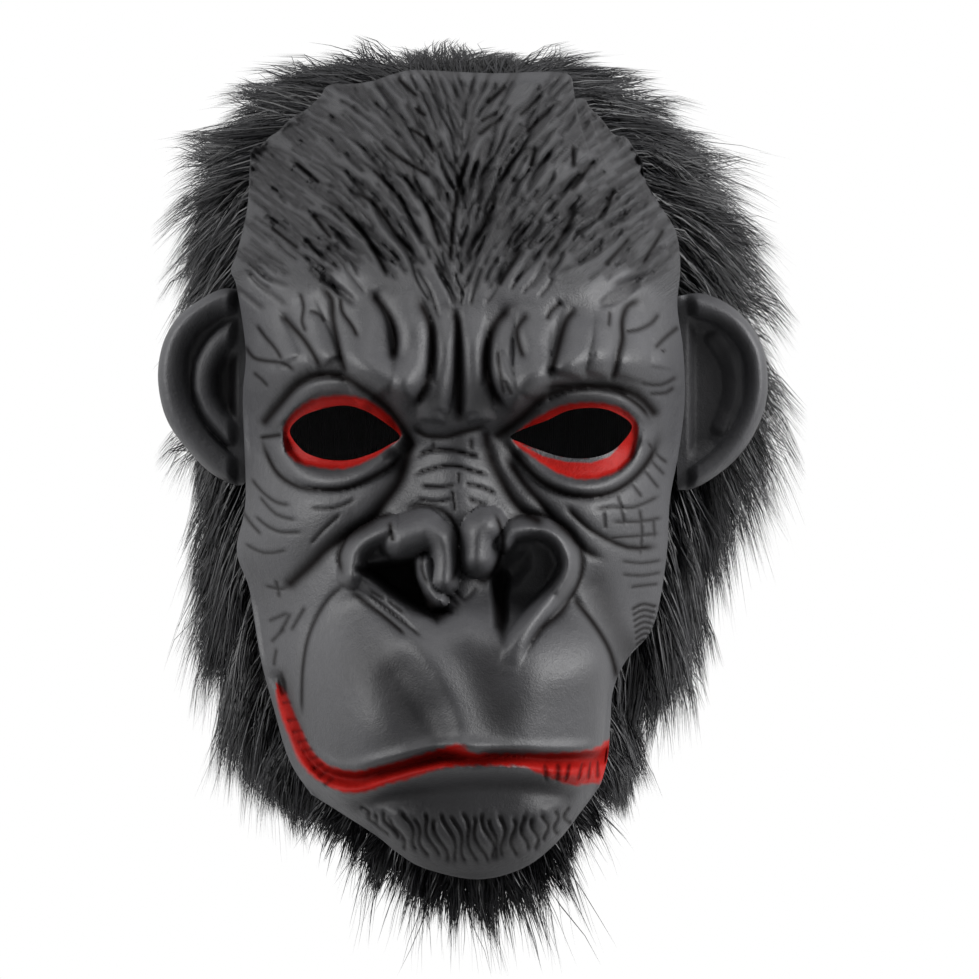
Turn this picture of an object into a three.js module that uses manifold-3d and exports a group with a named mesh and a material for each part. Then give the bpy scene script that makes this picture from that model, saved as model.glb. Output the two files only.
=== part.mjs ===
// A full-head gorilla mask: moulded face with two eye holes, two moulded ears, a cloth hood and its fur.
// Millimetres, +Z up, the face looks along -Y. The origin is the inner top of the hood's crown.
import * as THREE from "three";
import Module from "manifold-3d";

const wasm = await Module();
wasm.setup();

// Face
const FACE_WIDTH = 151;
const FACE_HEIGHT = 268;
const FACE_DEPTH = 102; // from the side edges forward to the upper lip
const FACE_EDGE_Y = -48; // where the cut side edges lie
const FACE_WALL = 2.4;
const FACE_SKIRT = 8; // the turned-back rim behind the cut outline
// Hood
const HOOD_WIDTH = 162;
const HOOD_BACK = 98; // back of the head, from the origin
const HOOD_OCCIPUT = 92; // drop of the roundest point of the back below the crown
const HOOD_WIDEST_Y = 12;
const HOOD_CLOTH = 2;
const HOOD_TUCK = 6.5; // how far the cloth runs forward under the face's rim
const CHIN_STRAP = 24; // how far the cloth runs back under the jaw
const NAPE_TUCK = 16; // how far the nape lies forward of the back of the head
// Ears
const EAR_THICKNESS = 7.5;
const EAR_RIM = 4; // height of the rolled rim
// Fur
const FUR_LENGTH = 12; // lock length on the crown
const LOCK_LEAN = 0.55; // how far a lock leans along its flow, as a share of its length
// Fits
const GAP = 0.4;
const EAR_PART = 8; // over this much height above and below an ear the fur parts for it

// Columns x, z and forward in every table below are in these shares of the sizes of the face:
// x in 151sts of the width, z in 268ths of the height, forward in 102nds of the depth.
const UX = FACE_WIDTH / 151;
const UZ = FACE_HEIGHT / 268;
const UF = FACE_DEPTH / 102;

// Cut outline of the face, clockwise from the top left as seen from the front: x, z, forward
const TOP_EDGE = [
  [-71.5, -26, 0], [-68, -24, 0], [-62, -19, 0], [-58, -15, 0], [-53, -12, 0], [-48, -7.5, 0], [-45, -3.5, 0],
  [-36, -3, 0], [-30, -2, 0], [-24, 0, 0], [-18, 1.5, 0], [-12, 1.5, 0], [10, 0.5, 0], [35, 0.5, 0],
  [36.5, -7.5, 0], [41, -8, 0], [47, -15, 0], [55, -21, 0], [58, -25, 0], [61, -30, 0],
];
const LEFT_EDGE = [
  [-71.5, -26, 0], [-72.5, -45, 0], [-76, -60, 0], [-78, -66, 0], [-76, -72, 0], [-73, -93, 0], [-74, -110, 0],
  [-73, -143, 1], [-76, -160, 2], [-72, -172, 4], [-70.5, -180, 6], [-67.5, -197, 12], [-63, -213, 20],
  [-57.5, -230, 31], [-50, -241, 40],
];
const RIGHT_EDGE = [
  [61, -30, 0], [61.5, -35, 0], [66, -43, 0], [72, -53, 0], [73.5, -65, 0], [72.5, -78, 0], [74.5, -93, 0],
  [75, -110, 0], [73, -127, 0], [70, -143, 1], [69, -160, 3], [66.5, -177, 6], [63, -188, 10], [55, -197, 16],
  [50.5, -207, 21], [49.5, -218, 27], [48.5, -229, 33], [46, -238, 40],
];
const BOTTOM_EDGE = [
  [-50, -241, 40], [-40, -247, 45], [-28, -254.5, 50], [-21, -260, 52], [-12, -265, 54], [5, -268.5, 55],
  [20, -265, 53], [31, -257, 49], [40, -246, 43], [46, -238, 40],
];
// Middle of the face from the forehead down: z, forward, how square the section is
const PROFILE = [
  [2, 18, 2.2], [-15, 29, 2.3], [-30, 39, 2.4], [-50, 50, 2.5], [-70, 59, 2.7], [-90, 67, 3.0], [-105, 70, 3.2],
  [-118, 66, 3.2], [-126, 59, 3.0], [-140, 60, 2.8], [-155, 61, 2.6], [-170, 62, 2.5], [-185, 64, 2.5],
  [-205, 68, 2.6], [-222, 72, 2.6], [-240, 76, 2.6], [-255, 75, 2.6], [-268, 66, 2.6],
];
// Rounded masses and hollows: x, z, half width, half height, rise
const MASSES = {
  socket_right: [-40, -121, 25, 12, -9], socket_left: [37, -122, 25, 12, -9],
  cheek_right: [-57, -150, 17, 17, 5], cheek_left: [55, -148, 17, 17, 5],
  nose_bridge: [-1, -140, 12, 12, 7], nose_lobe: [-8, -158, 11, 13, 11], nose_ball: [6, -158, 10, 13, 11],
  wing_right: [-27, -162, 12, 10, 12], wing_left: [27, -164, 12, 13, 12], septum: [-1, -179, 9, 8, 9],
  nostril_right: [-17, -171, 9, 6.5, -9], nostril_left: [14, -176, 6, 10, -9],
  lip_right: [-38, -205, 20, 18, 4], lip_left: [33, -198, 18, 18, 4], philtrum_hollow: [-18, -203, 6, 12, -5],
  ear_hollow_right: [-66, -185, 7, 14, -4], ear_hollow_left: [56, -178, 8, 10, -6],
};
// The muzzle stands forward as one block: x, z, half width, half height, rise
const MUZZLE = [-1, -208, 53, 36, 24];
// Folds and ridges: rise, half width, then the path as x, z pairs
const FOLDS = {
  brow_right: [8, 8, [-67, -100], [-45, -97], [-20, -106]],
  brow_left: [8, 8, [20, -106], [45, -97], [68, -98]],
  brow_groove: [-4.5, 3.4, [-4, -80], [-1.5, -86], [-1, -118]],
  furrow_right_inner: [-3.5, 3.6, [-14.5, -76.5], [-9.5, -92], [-12.5, -108]],
  furrow_right_middle: [-3.5, 3.6, [-30, -75], [-23, -85], [-22.5, -98]],
  furrow_right_outer: [-3, 3.6, [-46.5, -72.5], [-42.5, -84], [-37.5, -103]],
  furrow_right_side: [-3, 3.6, [-60.5, -81], [-52, -90.5], [-46, -100.5]],
  furrow_left_inner: [-3.5, 3.6, [17, -79.5], [8, -96], [14, -113]],
  furrow_left_middle: [-3.5, 3.6, [38, -80], [32.5, -90], [29, -103]],
  furrow_left_outer: [-3, 3.6, [60, -76.5], [53, -87], [49, -105]],
  parting: [-2.5, 3.5, [0, -14], [-1, -40], [-2, -70]],
  forehead_right: [-2.5, 4, [-36, -41], [-26, -49], [-16, -62]],
  forehead_left: [-2.5, 4, [40, -44], [33, -56], [26, -66]],
  cheek_fold_right: [-5, 4, [-17, -124], [-21, -138], [-30, -150], [-45, -160], [-58, -172]],
  cheek_fold_left: [-4.5, 4, [9, -124], [16, -142], [31, -150], [47, -163]],
  muzzle_top_right: [-3, 3.5, [-38, -170], [-48, -182], [-53, -200]],
  mouth_line: [-8, 3.4, [-60, -204], [-54, -222], [-45, -232], [-28, -232.5], [-5, -227], [30, -227.5], [50, -225]],
  under_lip: [-3.5, 4, [-34, -243], [0, -238], [34, -241]],
  chin_groove_right: [-1.8, 2.8, [-20, -247], [-15, -258]], chin_groove_middle: [-1.8, 2.8, [-3, -246], [1, -262]],
  chin_groove_left: [-1.8, 2.8, [16, -247], [17, -260]],
};
// Eye holes, anticlockwise: x, z
const EYE_RIGHT = [
  [-57.5, -120.5], [-54, -126], [-50, -128.5], [-44, -130], [-37, -130], [-30, -128], [-24, -125], [-20.5, -122],
  [-28, -116], [-34, -113], [-40, -112], [-48, -113.5], [-54, -116],
];
const EYE_LEFT = [
  [16, -122.5], [20, -124.5], [25, -126.5], [33, -129], [41, -129.5], [48, -128], [53, -124.5], [56.5, -118.5],
  [50, -114], [43, -112.8], [35, -113.8], [28, -117], [20, -120],
];
// Front edge of the cloth, inside the face's rim, from the jaw at the right of the wearer over the top: x, z, forward
const HOOD_FRONT = [
  [-46.5, -237, 38], [-53.5, -227, 30], [-59, -211, 19], [-63.6, -196, 11.5], [-67, -179, 5.5], [-69, -160, 2],
  [-69.6, -143, 0.8], [-69.6, -120, 0], [-69.6, -95, 0], [-70.5, -75, 0], [-70, -58, 0], [-67.5, -42, 0],
  [-63, -29, 0], [-54, -18, 0], [-44, -10.5, 0], [-30, -6.5, 0], [-15, -4.5, 0], [0, -4, 0], [15, -5, 0],
  [28, -8, 0], [38, -13, 0], [47, -21, 0], [55, -30, 0], [60.5, -42, 0], [66.5, -56, 0], [69, -75, 0],
  [70.5, -95, 0], [71, -110, 0], [69, -127, 0], [66.4, -143, 0.8], [65, -160, 2.8], [62.5, -177, 6], [58.5, -188, 10],
  [51, -197, 16], [46.5, -207, 21], [45, -218, 27], [42.5, -234, 38],
];
const CHIN_FRONT = [
  [42.5, -234, 38], [36, -243, 42], [28, -252.5, 48], [18, -260.5, 51], [5, -264, 53], [-9, -260.5, 52],
  [-18, -254, 49], [-26, -248.5, 46], [-36.5, -241.5, 42], [-46.5, -237, 38],
];
// Outline of an ear from its upper root round to its lower root: x, z
const EAR_RIGHT = [
  [-74, -74], [-80, -73.5], [-86, -76], [-94, -82], [-99, -90], [-101, -100], [-100, -110], [-97, -118],
  [-91, -126], [-84, -133], [-77, -136.5], [-74, -136.5],
];
const EAR_LEFT = [
  [73, -76], [80, -75], [88, -78], [95, -84], [100, -93], [101.3, -104], [100, -113], [96, -122], [90.6, -129],
  [83, -135], [77, -138], [73, -138],
];
// Fur along the hood's front edge, from jaw over the crown to jaw: share of the edge, length in crown lengths
const FUR = [
  [0, 1.9], [0.08, 2.1], [0.16, 1.8], [0.24, 1.25], [0.32, 1.2], [0.4, 1.2], [0.46, 1.0], [0.5, 1.0], [0.54, 1.0],
  [0.58, 1.4], [0.62, 1.8], [0.68, 1.8], [0.72, 2.2], [0.78, 2.5], [0.84, 1.6], [0.9, 1.3], [0.96, 1.1], [1, 1.3],
];
const FACE_COLUMNS = 30;
const FACE_ROWS = 40;
// Where the rows and columns of the face's patch lie, closer together round eyes, nose and mouth: share, place
const ROW_PLACES = [[0, 0], [0.05, 0.03], [0.2, 0.26], [0.9, 0.88], [1, 1]];
const COLUMN_PLACES = [[0, 0], [0.14, 0.17], [0.86, 0.83], [1, 1]];
const HOOD_COLUMNS = 34;
const HOOD_BACK_ROWS = 6;
const CHIN_COLUMNS = 8;
const HEM_COLUMNS = 3; // columns next to the hem where the fur hangs past it

const clamp = (value, low, high) => Math.min(high, Math.max(low, value));
const mix = (a, b, share) => a + (b - a) * share;
const smooth = (value) => {
  const s = clamp(value, 0, 1);
  return s * s * (3 - 2 * s);
};

// A point of the face's tables in millimetres
const place = ([x, z, forward = 0]) => new THREE.Vector3(x * UX, FACE_EDGE_Y - forward * UF, z * UZ);

// The point at a share of a polyline's length
function along(points, share) {
  const lengths = points.slice(1).map((p, i) => p.distanceTo(points[i]));
  let left = share * lengths.reduce((a, b) => a + b, 0);
  for (let i = 0; i < lengths.length; i++) {
    if (left <= lengths[i] || i === lengths.length - 1) {
      return points[i].clone().lerp(points[i + 1], clamp(left / lengths[i], 0, 1));
    }
    left -= lengths[i];
  }
}

// Values of a table whose first column is the key, which runs one way
function lookUp(table, key) {
  const sign = Math.sign(table[1][0] - table[0][0]);
  let i = 0;
  while (i < table.length - 2 && sign * (key - table[i + 1][0]) > 0) i++;
  const share = clamp((key - table[i][0]) / (table[i + 1][0] - table[i][0]), 0, 1);
  return table[i].slice(1).map((value, k) => mix(value, table[i + 1][k + 1], share));
}

// Distance from x, z to a path of x, z pairs
function pathDistance(x, z, path) {
  let best = Infinity;
  for (let i = 1; i < path.length; i++) {
    const [ax, az] = path[i - 1];
    const dx = path[i][0] - ax;
    const dz = path[i][1] - az;
    const t = clamp(((x - ax) * dx + (z - az) * dz) / (dx * dx + dz * dz), 0, 1);
    best = Math.min(best, Math.hypot(x - ax - t * dx, z - az - t * dz));
  }
  return best;
}

// How far the relief stands forward at x, z of the tables: masses and hollows, the muzzle, then folds
function relief(x, z) {
  let rise = 0;
  for (const [cx, cz, rx, rz, height] of Object.values(MASSES)) {
    rise += height * Math.exp(-(((x - cx) / rx) ** 2) - ((z - cz) / rz) ** 2);
  }
  const [mx, mz, mw, mh, block] = MUZZLE;
  const ring = (Math.abs((x - mx) / mw) ** 3 + Math.abs((z - mz) / mh) ** 3) ** (1 / 3);
  rise += block * (1 - smooth((ring - 0.5) / 0.52));
  for (const [height, width, ...path] of Object.values(FOLDS)) {
    rise += height * Math.exp(-((pathDistance(x, z, path) / width) ** 2));
  }
  return rise;
}

const edges = [TOP_EDGE, BOTTOM_EDGE, LEFT_EDGE, RIGHT_EDGE].map((table) => table.map(place));

// The face at u across and v down: a patch between the four edges, brought forward by profile and relief
function facePoint(u, v) {
  const [top, bottom, left, right] = edges;
  const corner = [top[0], top.at(-1), bottom[0], bottom.at(-1)];
  const point = along(top, u).multiplyScalar(1 - v)
    .addScaledVector(along(bottom, u), v)
    .addScaledVector(along(left, v), 1 - u)
    .addScaledVector(along(right, v), u)
    .addScaledVector(corner[0], -(1 - u) * (1 - v))
    .addScaledVector(corner[1], -u * (1 - v))
    .addScaledVector(corner[2], -(1 - u) * v)
    .addScaledVector(corner[3], -u * v);
  const x = point.x / UX;
  const z = point.z / UZ;
  const [forward, square] = lookUp(PROFILE, z);
  const edgeForward = (FACE_EDGE_Y - point.y) / UF;
  const across = 1 - Math.abs(2 * u - 1) ** square;
  const inside = (1 - (1 - Math.min(1, v / 0.12)) ** 2.5) * (1 - (1 - Math.min(1, (1 - v) / 0.08)) ** 2.5);
  const calm = smooth(Math.min(u, 1 - u) / 0.08) * smooth(Math.min(v, 1 - v) / 0.04);
  point.y -= UF * (Math.max(0, forward - edgeForward) * across * inside + relief(x, z) * calm) + FACE_SKIRT;
  return point;
}

// Unit normals of the vertices of a mesh, evened out over their neighbours a number of times
function normalsOf(points, triangles, evenings) {
  let normals = points.map(() => new THREE.Vector3());
  for (const [a, b, c] of triangles) {
    const n = points[b].clone().sub(points[a]).cross(points[c].clone().sub(points[a]));
    for (const k of [a, b, c]) normals[k].add(n);
  }
  normals.forEach((n) => n.normalize());
  for (let pass = 0; pass < evenings; pass++) {
    const sums = normals.map((n) => n.clone());
    for (const t of triangles) for (const k of t) for (const m of t) sums[k].add(normals[m]);
    normals = sums.map((n) => n.normalize());
  }
  return normals;
}

// Two sheets with the same triangles, joined along every open edge into one closed body
function closed(outer, inner, triangles) {
  const count = outer.length;
  const open = new Map();
  for (const t of triangles) {
    t.forEach((a, k) => {
      const b = t[(k + 1) % 3];
      if (!open.delete(`${b},${a}`)) open.set(`${a},${b}`, [a, b]);
    });
  }
  const all = triangles.flatMap(([a, b, c]) => [[a, b, c], [c + count, b + count, a + count]]);
  for (const [a, b] of open.values()) all.push([b, a, a + count], [b, a + count, b + count]);
  return { points: [...outer, ...inner], triangles: all };
}

function solidOf({ points, triangles }) {
  const used = [...new Set(triangles.flat())];
  const renumber = new Map(used.map((k, i) => [k, i]));
  const volume = triangles.reduce((sum, [a, b, c]) => sum + points[a].dot(points[b].clone().cross(points[c])), 0);
  const order = volume < 0 ? (t) => [t[0], t[2], t[1]] : (t) => t;
  return new wasm.Manifold(new wasm.Mesh({
    numProp: 3,
    vertProperties: new Float32Array(used.flatMap((k) => points[k].toArray())),
    triVerts: new Uint32Array(triangles.flatMap((t) => order(t).map((k) => renumber.get(k)))),
  }));
}

// Triangles of a grid of columns and rows of cells, the points running along the columns first
function gridTriangles(columns, rows) {
  const list = [];
  for (let j = 0; j < rows; j++) {
    for (let i = 0; i < columns; i++) {
      const a = j * (columns + 1) + i;
      const b = a + 1;
      const c = a + columns + 1;
      list.push([a, c, b], [b, c, c + 1]);
    }
  }
  return list;
}

function prism(table) {
  const ring = table.map(place);
  const far = ring.map((p) => p.clone().setY(p.y + FACE_DEPTH / 4));
  const near = ring.map((p) => p.clone().setY(p.y - FACE_DEPTH * 1.5));
  const fan = ring.slice(2).map((_, i) => [0, i + 1, i + 2]);
  return solidOf(closed(near, far, fan));
}

function faceSolid() {
  const points = [];
  for (let j = 0; j <= FACE_ROWS; j++) {
    for (let i = 0; i <= FACE_COLUMNS; i++) {
      points.push(facePoint(lookUp(COLUMN_PLACES, i / FACE_COLUMNS)[0], lookUp(ROW_PLACES, j / FACE_ROWS)[0]));
    }
  }
  const triangles = gridTriangles(FACE_COLUMNS, FACE_ROWS);
  // The rim: every border point once more, at the cut edge behind it
  const width = FACE_COLUMNS + 1;
  const border = [];
  for (let i = 0; i < FACE_COLUMNS; i++) border.push(i);
  for (let j = 0; j < FACE_ROWS; j++) border.push(j * width + FACE_COLUMNS);
  for (let i = FACE_COLUMNS; i > 0; i--) border.push(FACE_ROWS * width + i);
  for (let j = FACE_ROWS; j > 0; j--) border.push(j * width);
  const first = points.length;
  for (const k of border) points.push(points[k].clone().setY(points[k].y + FACE_SKIRT));
  border.forEach((a, k) => {
    const next = (k + 1) % border.length;
    triangles.push([a, border[next], first + k], [border[next], first + next, first + k]);
  });
  const normals = normalsOf(points, triangles, 3);
  for (let k = first; k < points.length; k++) normals[k].setY(0).normalize();
  border.forEach((a, k) => normals[a].add(normals[first + k].clone().multiplyScalar(0.6)).normalize());
  const inner = points.map((p, k) => p.clone().addScaledVector(normals[k], -FACE_WALL));
  return solidOf(closed(points, inner, triangles)).subtract(prism(EYE_RIGHT)).subtract(prism(EYE_LEFT));
}

// The hood: rows of points from the front edge back. The first rows keep to the edge,
// the next widen to the full head, and the last close round the back to the middle seam.
const hoodFront = HOOD_FRONT.map(place);
const chinFront = CHIN_FRONT.map(place);
const FRONT_ROWS = [
  // run back from the front edge, share of the full width
  [0, 0], [HOOD_TUCK + 1, 0], [HOOD_TUCK + CHIN_STRAP / 2, 0.25], [HOOD_TUCK + CHIN_STRAP, 0.5],
];
const SIDE_ROWS = [0.5, 1];
const ROWS = FRONT_ROWS.length + SIDE_ROWS.length + HOOD_BACK_ROWS - 1;

function hoodPoint(column, row) {
  const share = column / HOOD_COLUMNS;
  const front = along(hoodFront, share);
  const mirror = along(hoodFront, 1 - share);
  const edgeY = front.y - HOOD_TUCK;
  const foot = -FACE_HEIGHT * 0.875;
  const topAtFront = hoodFront[Math.round((hoodFront.length - 1) / 2)].z;
  let y;
  let grown = 1;
  let round = 1;
  if (row < FRONT_ROWS.length) {
    y = edgeY + FRONT_ROWS[row][0];
    grown = FRONT_ROWS[row][1];
  } else if (row < FRONT_ROWS.length + SIDE_ROWS.length) {
    const step = SIDE_ROWS[row - FRONT_ROWS.length];
    y = mix(edgeY + FRONT_ROWS.at(-1)[0], HOOD_WIDEST_Y, step);
    grown = mix(FRONT_ROWS.at(-1)[1], 1, step);
  } else {
    const turn = ((row - FRONT_ROWS.length - SIDE_ROWS.length + 1) / HOOD_BACK_ROWS) * (Math.PI / 2);
    y = mix(HOOD_WIDEST_Y, HOOD_BACK, Math.sin(turn));
    round = Math.cos(turn);
  }
  const widen = mix(1, HOOD_WIDTH / (2 * Math.abs(hoodFront[9].x)), grown) * round;
  const top = mix(-HOOD_OCCIPUT, mix(topAtFront, HOOD_CLOTH, grown), round);
  const level = mix((front.z + mirror.z) / 2, front.z, round);
  const height = clamp((level - foot) / (topAtFront - foot), 0, 1);
  const z = mix(level < foot ? level : foot, top, height);
  const nape = smooth((-FACE_HEIGHT * 0.55 - z) / (FACE_HEIGHT * 0.35)) * smooth((y - HOOD_WIDEST_Y) / (0.58 * (HOOD_BACK - HOOD_WIDEST_Y)));
  return new THREE.Vector3(front.x * widen, y - NAPE_TUCK * nape, z);
}

// All points of the hood in one list: the arch rows, then the strap under the jaw
const hoodPoints = [];
const hoodTriangles = [];
const archIndex = (i, j) => {
  const folded = j === ROWS && i > HOOD_COLUMNS / 2 ? HOOD_COLUMNS - i : i;
  return j * (HOOD_COLUMNS + 1) + folded;
};
for (let j = 0; j <= ROWS; j++) {
  for (let i = 0; i <= HOOD_COLUMNS; i++) hoodPoints.push(hoodPoint(i, j));
}
for (let j = 0; j < ROWS; j++) {
  for (let i = 0; i < HOOD_COLUMNS; i++) {
    const corners = [archIndex(i, j), archIndex(i + 1, j), archIndex(i, j + 1), archIndex(i + 1, j + 1)];
    hoodTriangles.push([corners[0], corners[1], corners[2]], [corners[1], corners[3], corners[2]]);
  }
}
const strapStart = hoodPoints.length;
const strapIndex = (i, j) => {
  if (i === 0) return archIndex(HOOD_COLUMNS, j);
  if (i === CHIN_COLUMNS) return archIndex(0, j);
  return strapStart + j * (CHIN_COLUMNS - 1) + i - 1;
};
FRONT_ROWS.forEach(([run], j) => {
  for (let i = 1; i < CHIN_COLUMNS; i++) {
    const front = along(chinFront, i / CHIN_COLUMNS);
    const ends = mix(hoodPoint(HOOD_COLUMNS, j).z, hoodPoint(0, j).z, i / CHIN_COLUMNS) - chinFront[0].z;
    hoodPoints.push(new THREE.Vector3(front.x, front.y - HOOD_TUCK + run, front.z + ends));
  }
});
for (let j = 0; j < FRONT_ROWS.length - 1; j++) {
  for (let i = 0; i < CHIN_COLUMNS; i++) {
    const corners = [strapIndex(i, j), strapIndex(i + 1, j), strapIndex(i, j + 1), strapIndex(i + 1, j + 1)];
    hoodTriangles.push([corners[0], corners[1], corners[2]], [corners[1], corners[3], corners[2]]);
  }
}
const usedTriangles = hoodTriangles.filter(([a, b, c]) => a !== b && b !== c && c !== a);
const hoodNormals = normalsOf(hoodPoints, usedTriangles, 1);
for (let i = 0; i <= HOOD_COLUMNS; i++) {
  for (const j of [0, 1]) hoodNormals[archIndex(i, j)].setY(0).normalize();
}
// Make the normals look outward
const outward = Math.sign(hoodNormals[archIndex(HOOD_COLUMNS / 2, 4)].z);
hoodNormals.forEach((n) => n.multiplyScalar(outward));

function hoodSolid() {
  const inner = hoodPoints.map((p, k) => p.clone().addScaledVector(hoodNormals[k], -HOOD_CLOTH));
  return solidOf(closed(hoodPoints, inner, usedTriangles));
}

// A point of the hood's outer face between its grid points, with its normal and the way back along it
function onHood(column, row) {
  const i = Math.min(Math.floor(column), HOOD_COLUMNS - 1);
  const j = Math.min(Math.floor(row), ROWS - 1);
  const [a, b] = [column - i, row - j];
  const blend = (list) => list[archIndex(i, j)].clone().multiplyScalar((1 - a) * (1 - b))
    .addScaledVector(list[archIndex(i + 1, j)], a * (1 - b))
    .addScaledVector(list[archIndex(i, j + 1)], (1 - a) * b)
    .addScaledVector(list[archIndex(i + 1, j + 1)], a * b);
  const back = hoodPoints[archIndex(i, j + 1)].clone().sub(hoodPoints[archIndex(i, j)]).normalize();
  return { point: blend(hoodPoints), normal: blend(hoodNormals).normalize(), back };
}

// The room that the fur leaves for the cloth: the hood grown outward by the gap
function hoodRoom() {
  const moved = (by) => hoodPoints.map((p, k) => p.clone().addScaledVector(hoodNormals[k], by));
  return solidOf(closed(moved(GAP), moved(-2 * HOOD_CLOTH), usedTriangles));
}

// The room that the fur leaves for the ears: everything beside the head level with them, as far back as they reach
function earRoom() {
  const foot = Math.min(...EAR_RIGHT.map((p) => p[1]), ...EAR_LEFT.map((p) => p[1])) * UZ - GAP;
  const top = Math.max(EAR_RIGHT[0][1], EAR_LEFT[0][1]) * UZ + GAP;
  const back = FACE_EDGE_Y + GAP + EAR_THICKNESS + GAP;
  const room = wasm.Manifold.cube([4 * FACE_WIDTH, 2 * FACE_DEPTH, top - foot], true);
  return room.translate([0, back - FACE_DEPTH, (top + foot) / 2]);
}

// Fur: a backing on the hood whose outer face rises in locks that lean along the flow.
// area: first and last column, steps across and down, rows it starts and ends at, share of back in the flow
function furSolid({ columns, steps, start, end, back, fold }) {
  const outer = [];
  const inner = [];
  for (let j = 0; j <= steps[1]; j++) {
    for (let i = 0; i <= steps[0]; i++) {
      const column = mix(columns[0], columns[1], i / steps[0]);
      const at = onHood(column, mix(start(column), end(column), j / steps[1]));
      const behind = smooth((at.point.y - HOOD_WIDEST_Y) / (HOOD_BACK - HOOD_WIDEST_Y));
      const length = mix(lookUp(FUR, column / HOOD_COLUMNS)[0], 1.1, behind);
      const lock = (i % 2 ? 1 : 0.62) * (j % 2 ? 0.9 : 1) * length * FUR_LENGTH;
      const flow = at.back.clone().multiplyScalar(back).add(new THREE.Vector3(0, 0, back - 1.4)).normalize();
      flow.addScaledVector(at.normal, -flow.dot(at.normal));
      inner.push(at.point.clone().addScaledVector(at.normal, -HOOD_CLOTH));
      const hem = smooth(1 - Math.min(column, HOOD_COLUMNS - column) / HEM_COLUMNS);
      outer.push(at.point.clone().addScaledVector(at.normal, GAP + Math.max(1.2, lock * 0.92))
        .addScaledVector(flow, j % steps[1] ? lock * LOCK_LEAN : 0)
        .add(new THREE.Vector3(0, 0, -hem * lock)));
    }
  }
  const folded = (k) => {
    const i = k % (steps[0] + 1);
    return fold && k - i === steps[1] * (steps[0] + 1) && i > steps[0] / 2 ? k - 2 * i + steps[0] : k;
  };
  const triangles = gridTriangles(...steps).map((t) => t.map(folded)).filter(([a, b, c]) => a !== b && b !== c && c !== a);
  const bodies = solidOf(closed(outer, inner, triangles)).subtract(hoodRoom()).subtract(earRoom()).decompose();
  return bodies.sort((a, b) => b.volume() - a.volume())[0];
}

// Beard under the jaw: from the strap's outer face, hanging in points
function beardSolid() {
  const steps = CHIN_COLUMNS * 3;
  const outer = [];
  const inner = [];
  const drops = [0.2, 1, 2];
  drops.forEach((drop, j) => {
    for (let i = 0; i <= steps; i++) {
      const share = mix(0.03, 0.97, i / steps);
      const cell = Math.min(Math.floor(share * CHIN_COLUMNS), CHIN_COLUMNS - 1);
      const part = share * CHIN_COLUMNS - cell;
      const row = mix(1.25, 2.9, j / 2);
      const from = Math.floor(row);
      const at = (r) => hoodPoints[strapIndex(cell, r)].clone().lerp(hoodPoints[strapIndex(cell + 1, r)], part);
      const normalAt = (r) => hoodNormals[strapIndex(cell, r)].clone().lerp(hoodNormals[strapIndex(cell + 1, r)], part);
      const normal = normalAt(from).normalize();
      const base = at(from).lerp(at(from + 1), row - from).addScaledVector(normal, GAP * 1.5);
      inner.push(base);
      const reach = FUR_LENGTH * (i % 2 ? 1.5 : 0.7) * (0.55 + 0.45 * Math.sin(Math.PI * share));
      const hang = new THREE.Vector3(normal.x * 0.5, 0.15, -1).normalize();
      outer.push(base.clone().addScaledVector(normal, 1.4).addScaledVector(hang, reach * (j === 2 ? 1.3 : 1) - drop));
    }
  });
  return solidOf(closed(outer, inner, gridTriangles(steps, drops.length - 1)));
}

// The side of the hood at a depth and height: how far out its outer face lies
function hoodSide(sign, y, z) {
  let best = Infinity;
  let x = 0;
  for (let column = 0; column <= HOOD_COLUMNS; column += 0.25) {
    for (let row = 0; row <= 5; row += 0.1) {
      const { point } = onHood(column, row);
      if (Math.sign(point.x) !== sign) continue;
      const off = Math.hypot(point.y - y, point.z - z);
      if (off < best) [best, x] = [off, point.x];
    }
  }
  return x;
}

// An ear: a thick leaf from its root on the hood to its outline, with a rolled rim, a groove and a hollow
function earSolid(table) {
  const sign = Math.sign(table[0][0]);
  const outline = table.map(place);
  const around = 16;
  const out = 7;
  const front = [];
  const back = [];
  for (let j = 0; j <= out; j++) {
    for (let i = 0; i <= around; i++) {
      const v = j / out;
      const edge = along(outline, i / around);
      const rootZ = mix(outline[0].z, outline.at(-1).z, 0.5 + (i / around - 0.5) * 0.94);
      const frontY = FACE_EDGE_Y + GAP;
      const root = (y) => new THREE.Vector3(hoodSide(sign, y, rootZ) + sign * GAP * 1.6, y, rootZ);
      const roll = EAR_RIM * Math.exp(-(((v - 0.88) / 0.13) ** 2));
      const groove = EAR_RIM * 0.7 * Math.exp(-(((v - 0.66) / 0.1) ** 2));
      const ridge = EAR_RIM * 0.6 * Math.exp(-(((v - 0.46) / 0.12) ** 2));
      const hollow = EAR_RIM * 0.9 * Math.exp(-(((v - 0.18) / 0.16) ** 2)) * Math.sin((Math.PI * i) / around);
      const lift = groove + hollow - roll - ridge + (j === out ? 2 : 0);
      const at = (y) => root(y).lerp(edge.clone().setY(y), v);
      const beyond = (Math.abs(at(frontY).x) - FACE_WIDTH * 0.52) / (EAR_RIM * 1.5);
      front.push(at(frontY).add(new THREE.Vector3(0, Math.max(0, lift) + Math.min(0, lift) * smooth(beyond), 0)));
      back.push(at(frontY + EAR_THICKNESS - (j === out ? 2.5 : 0)));
    }
  }
  return solidOf(closed(front, back, gridTriangles(around, out)));
}

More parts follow.
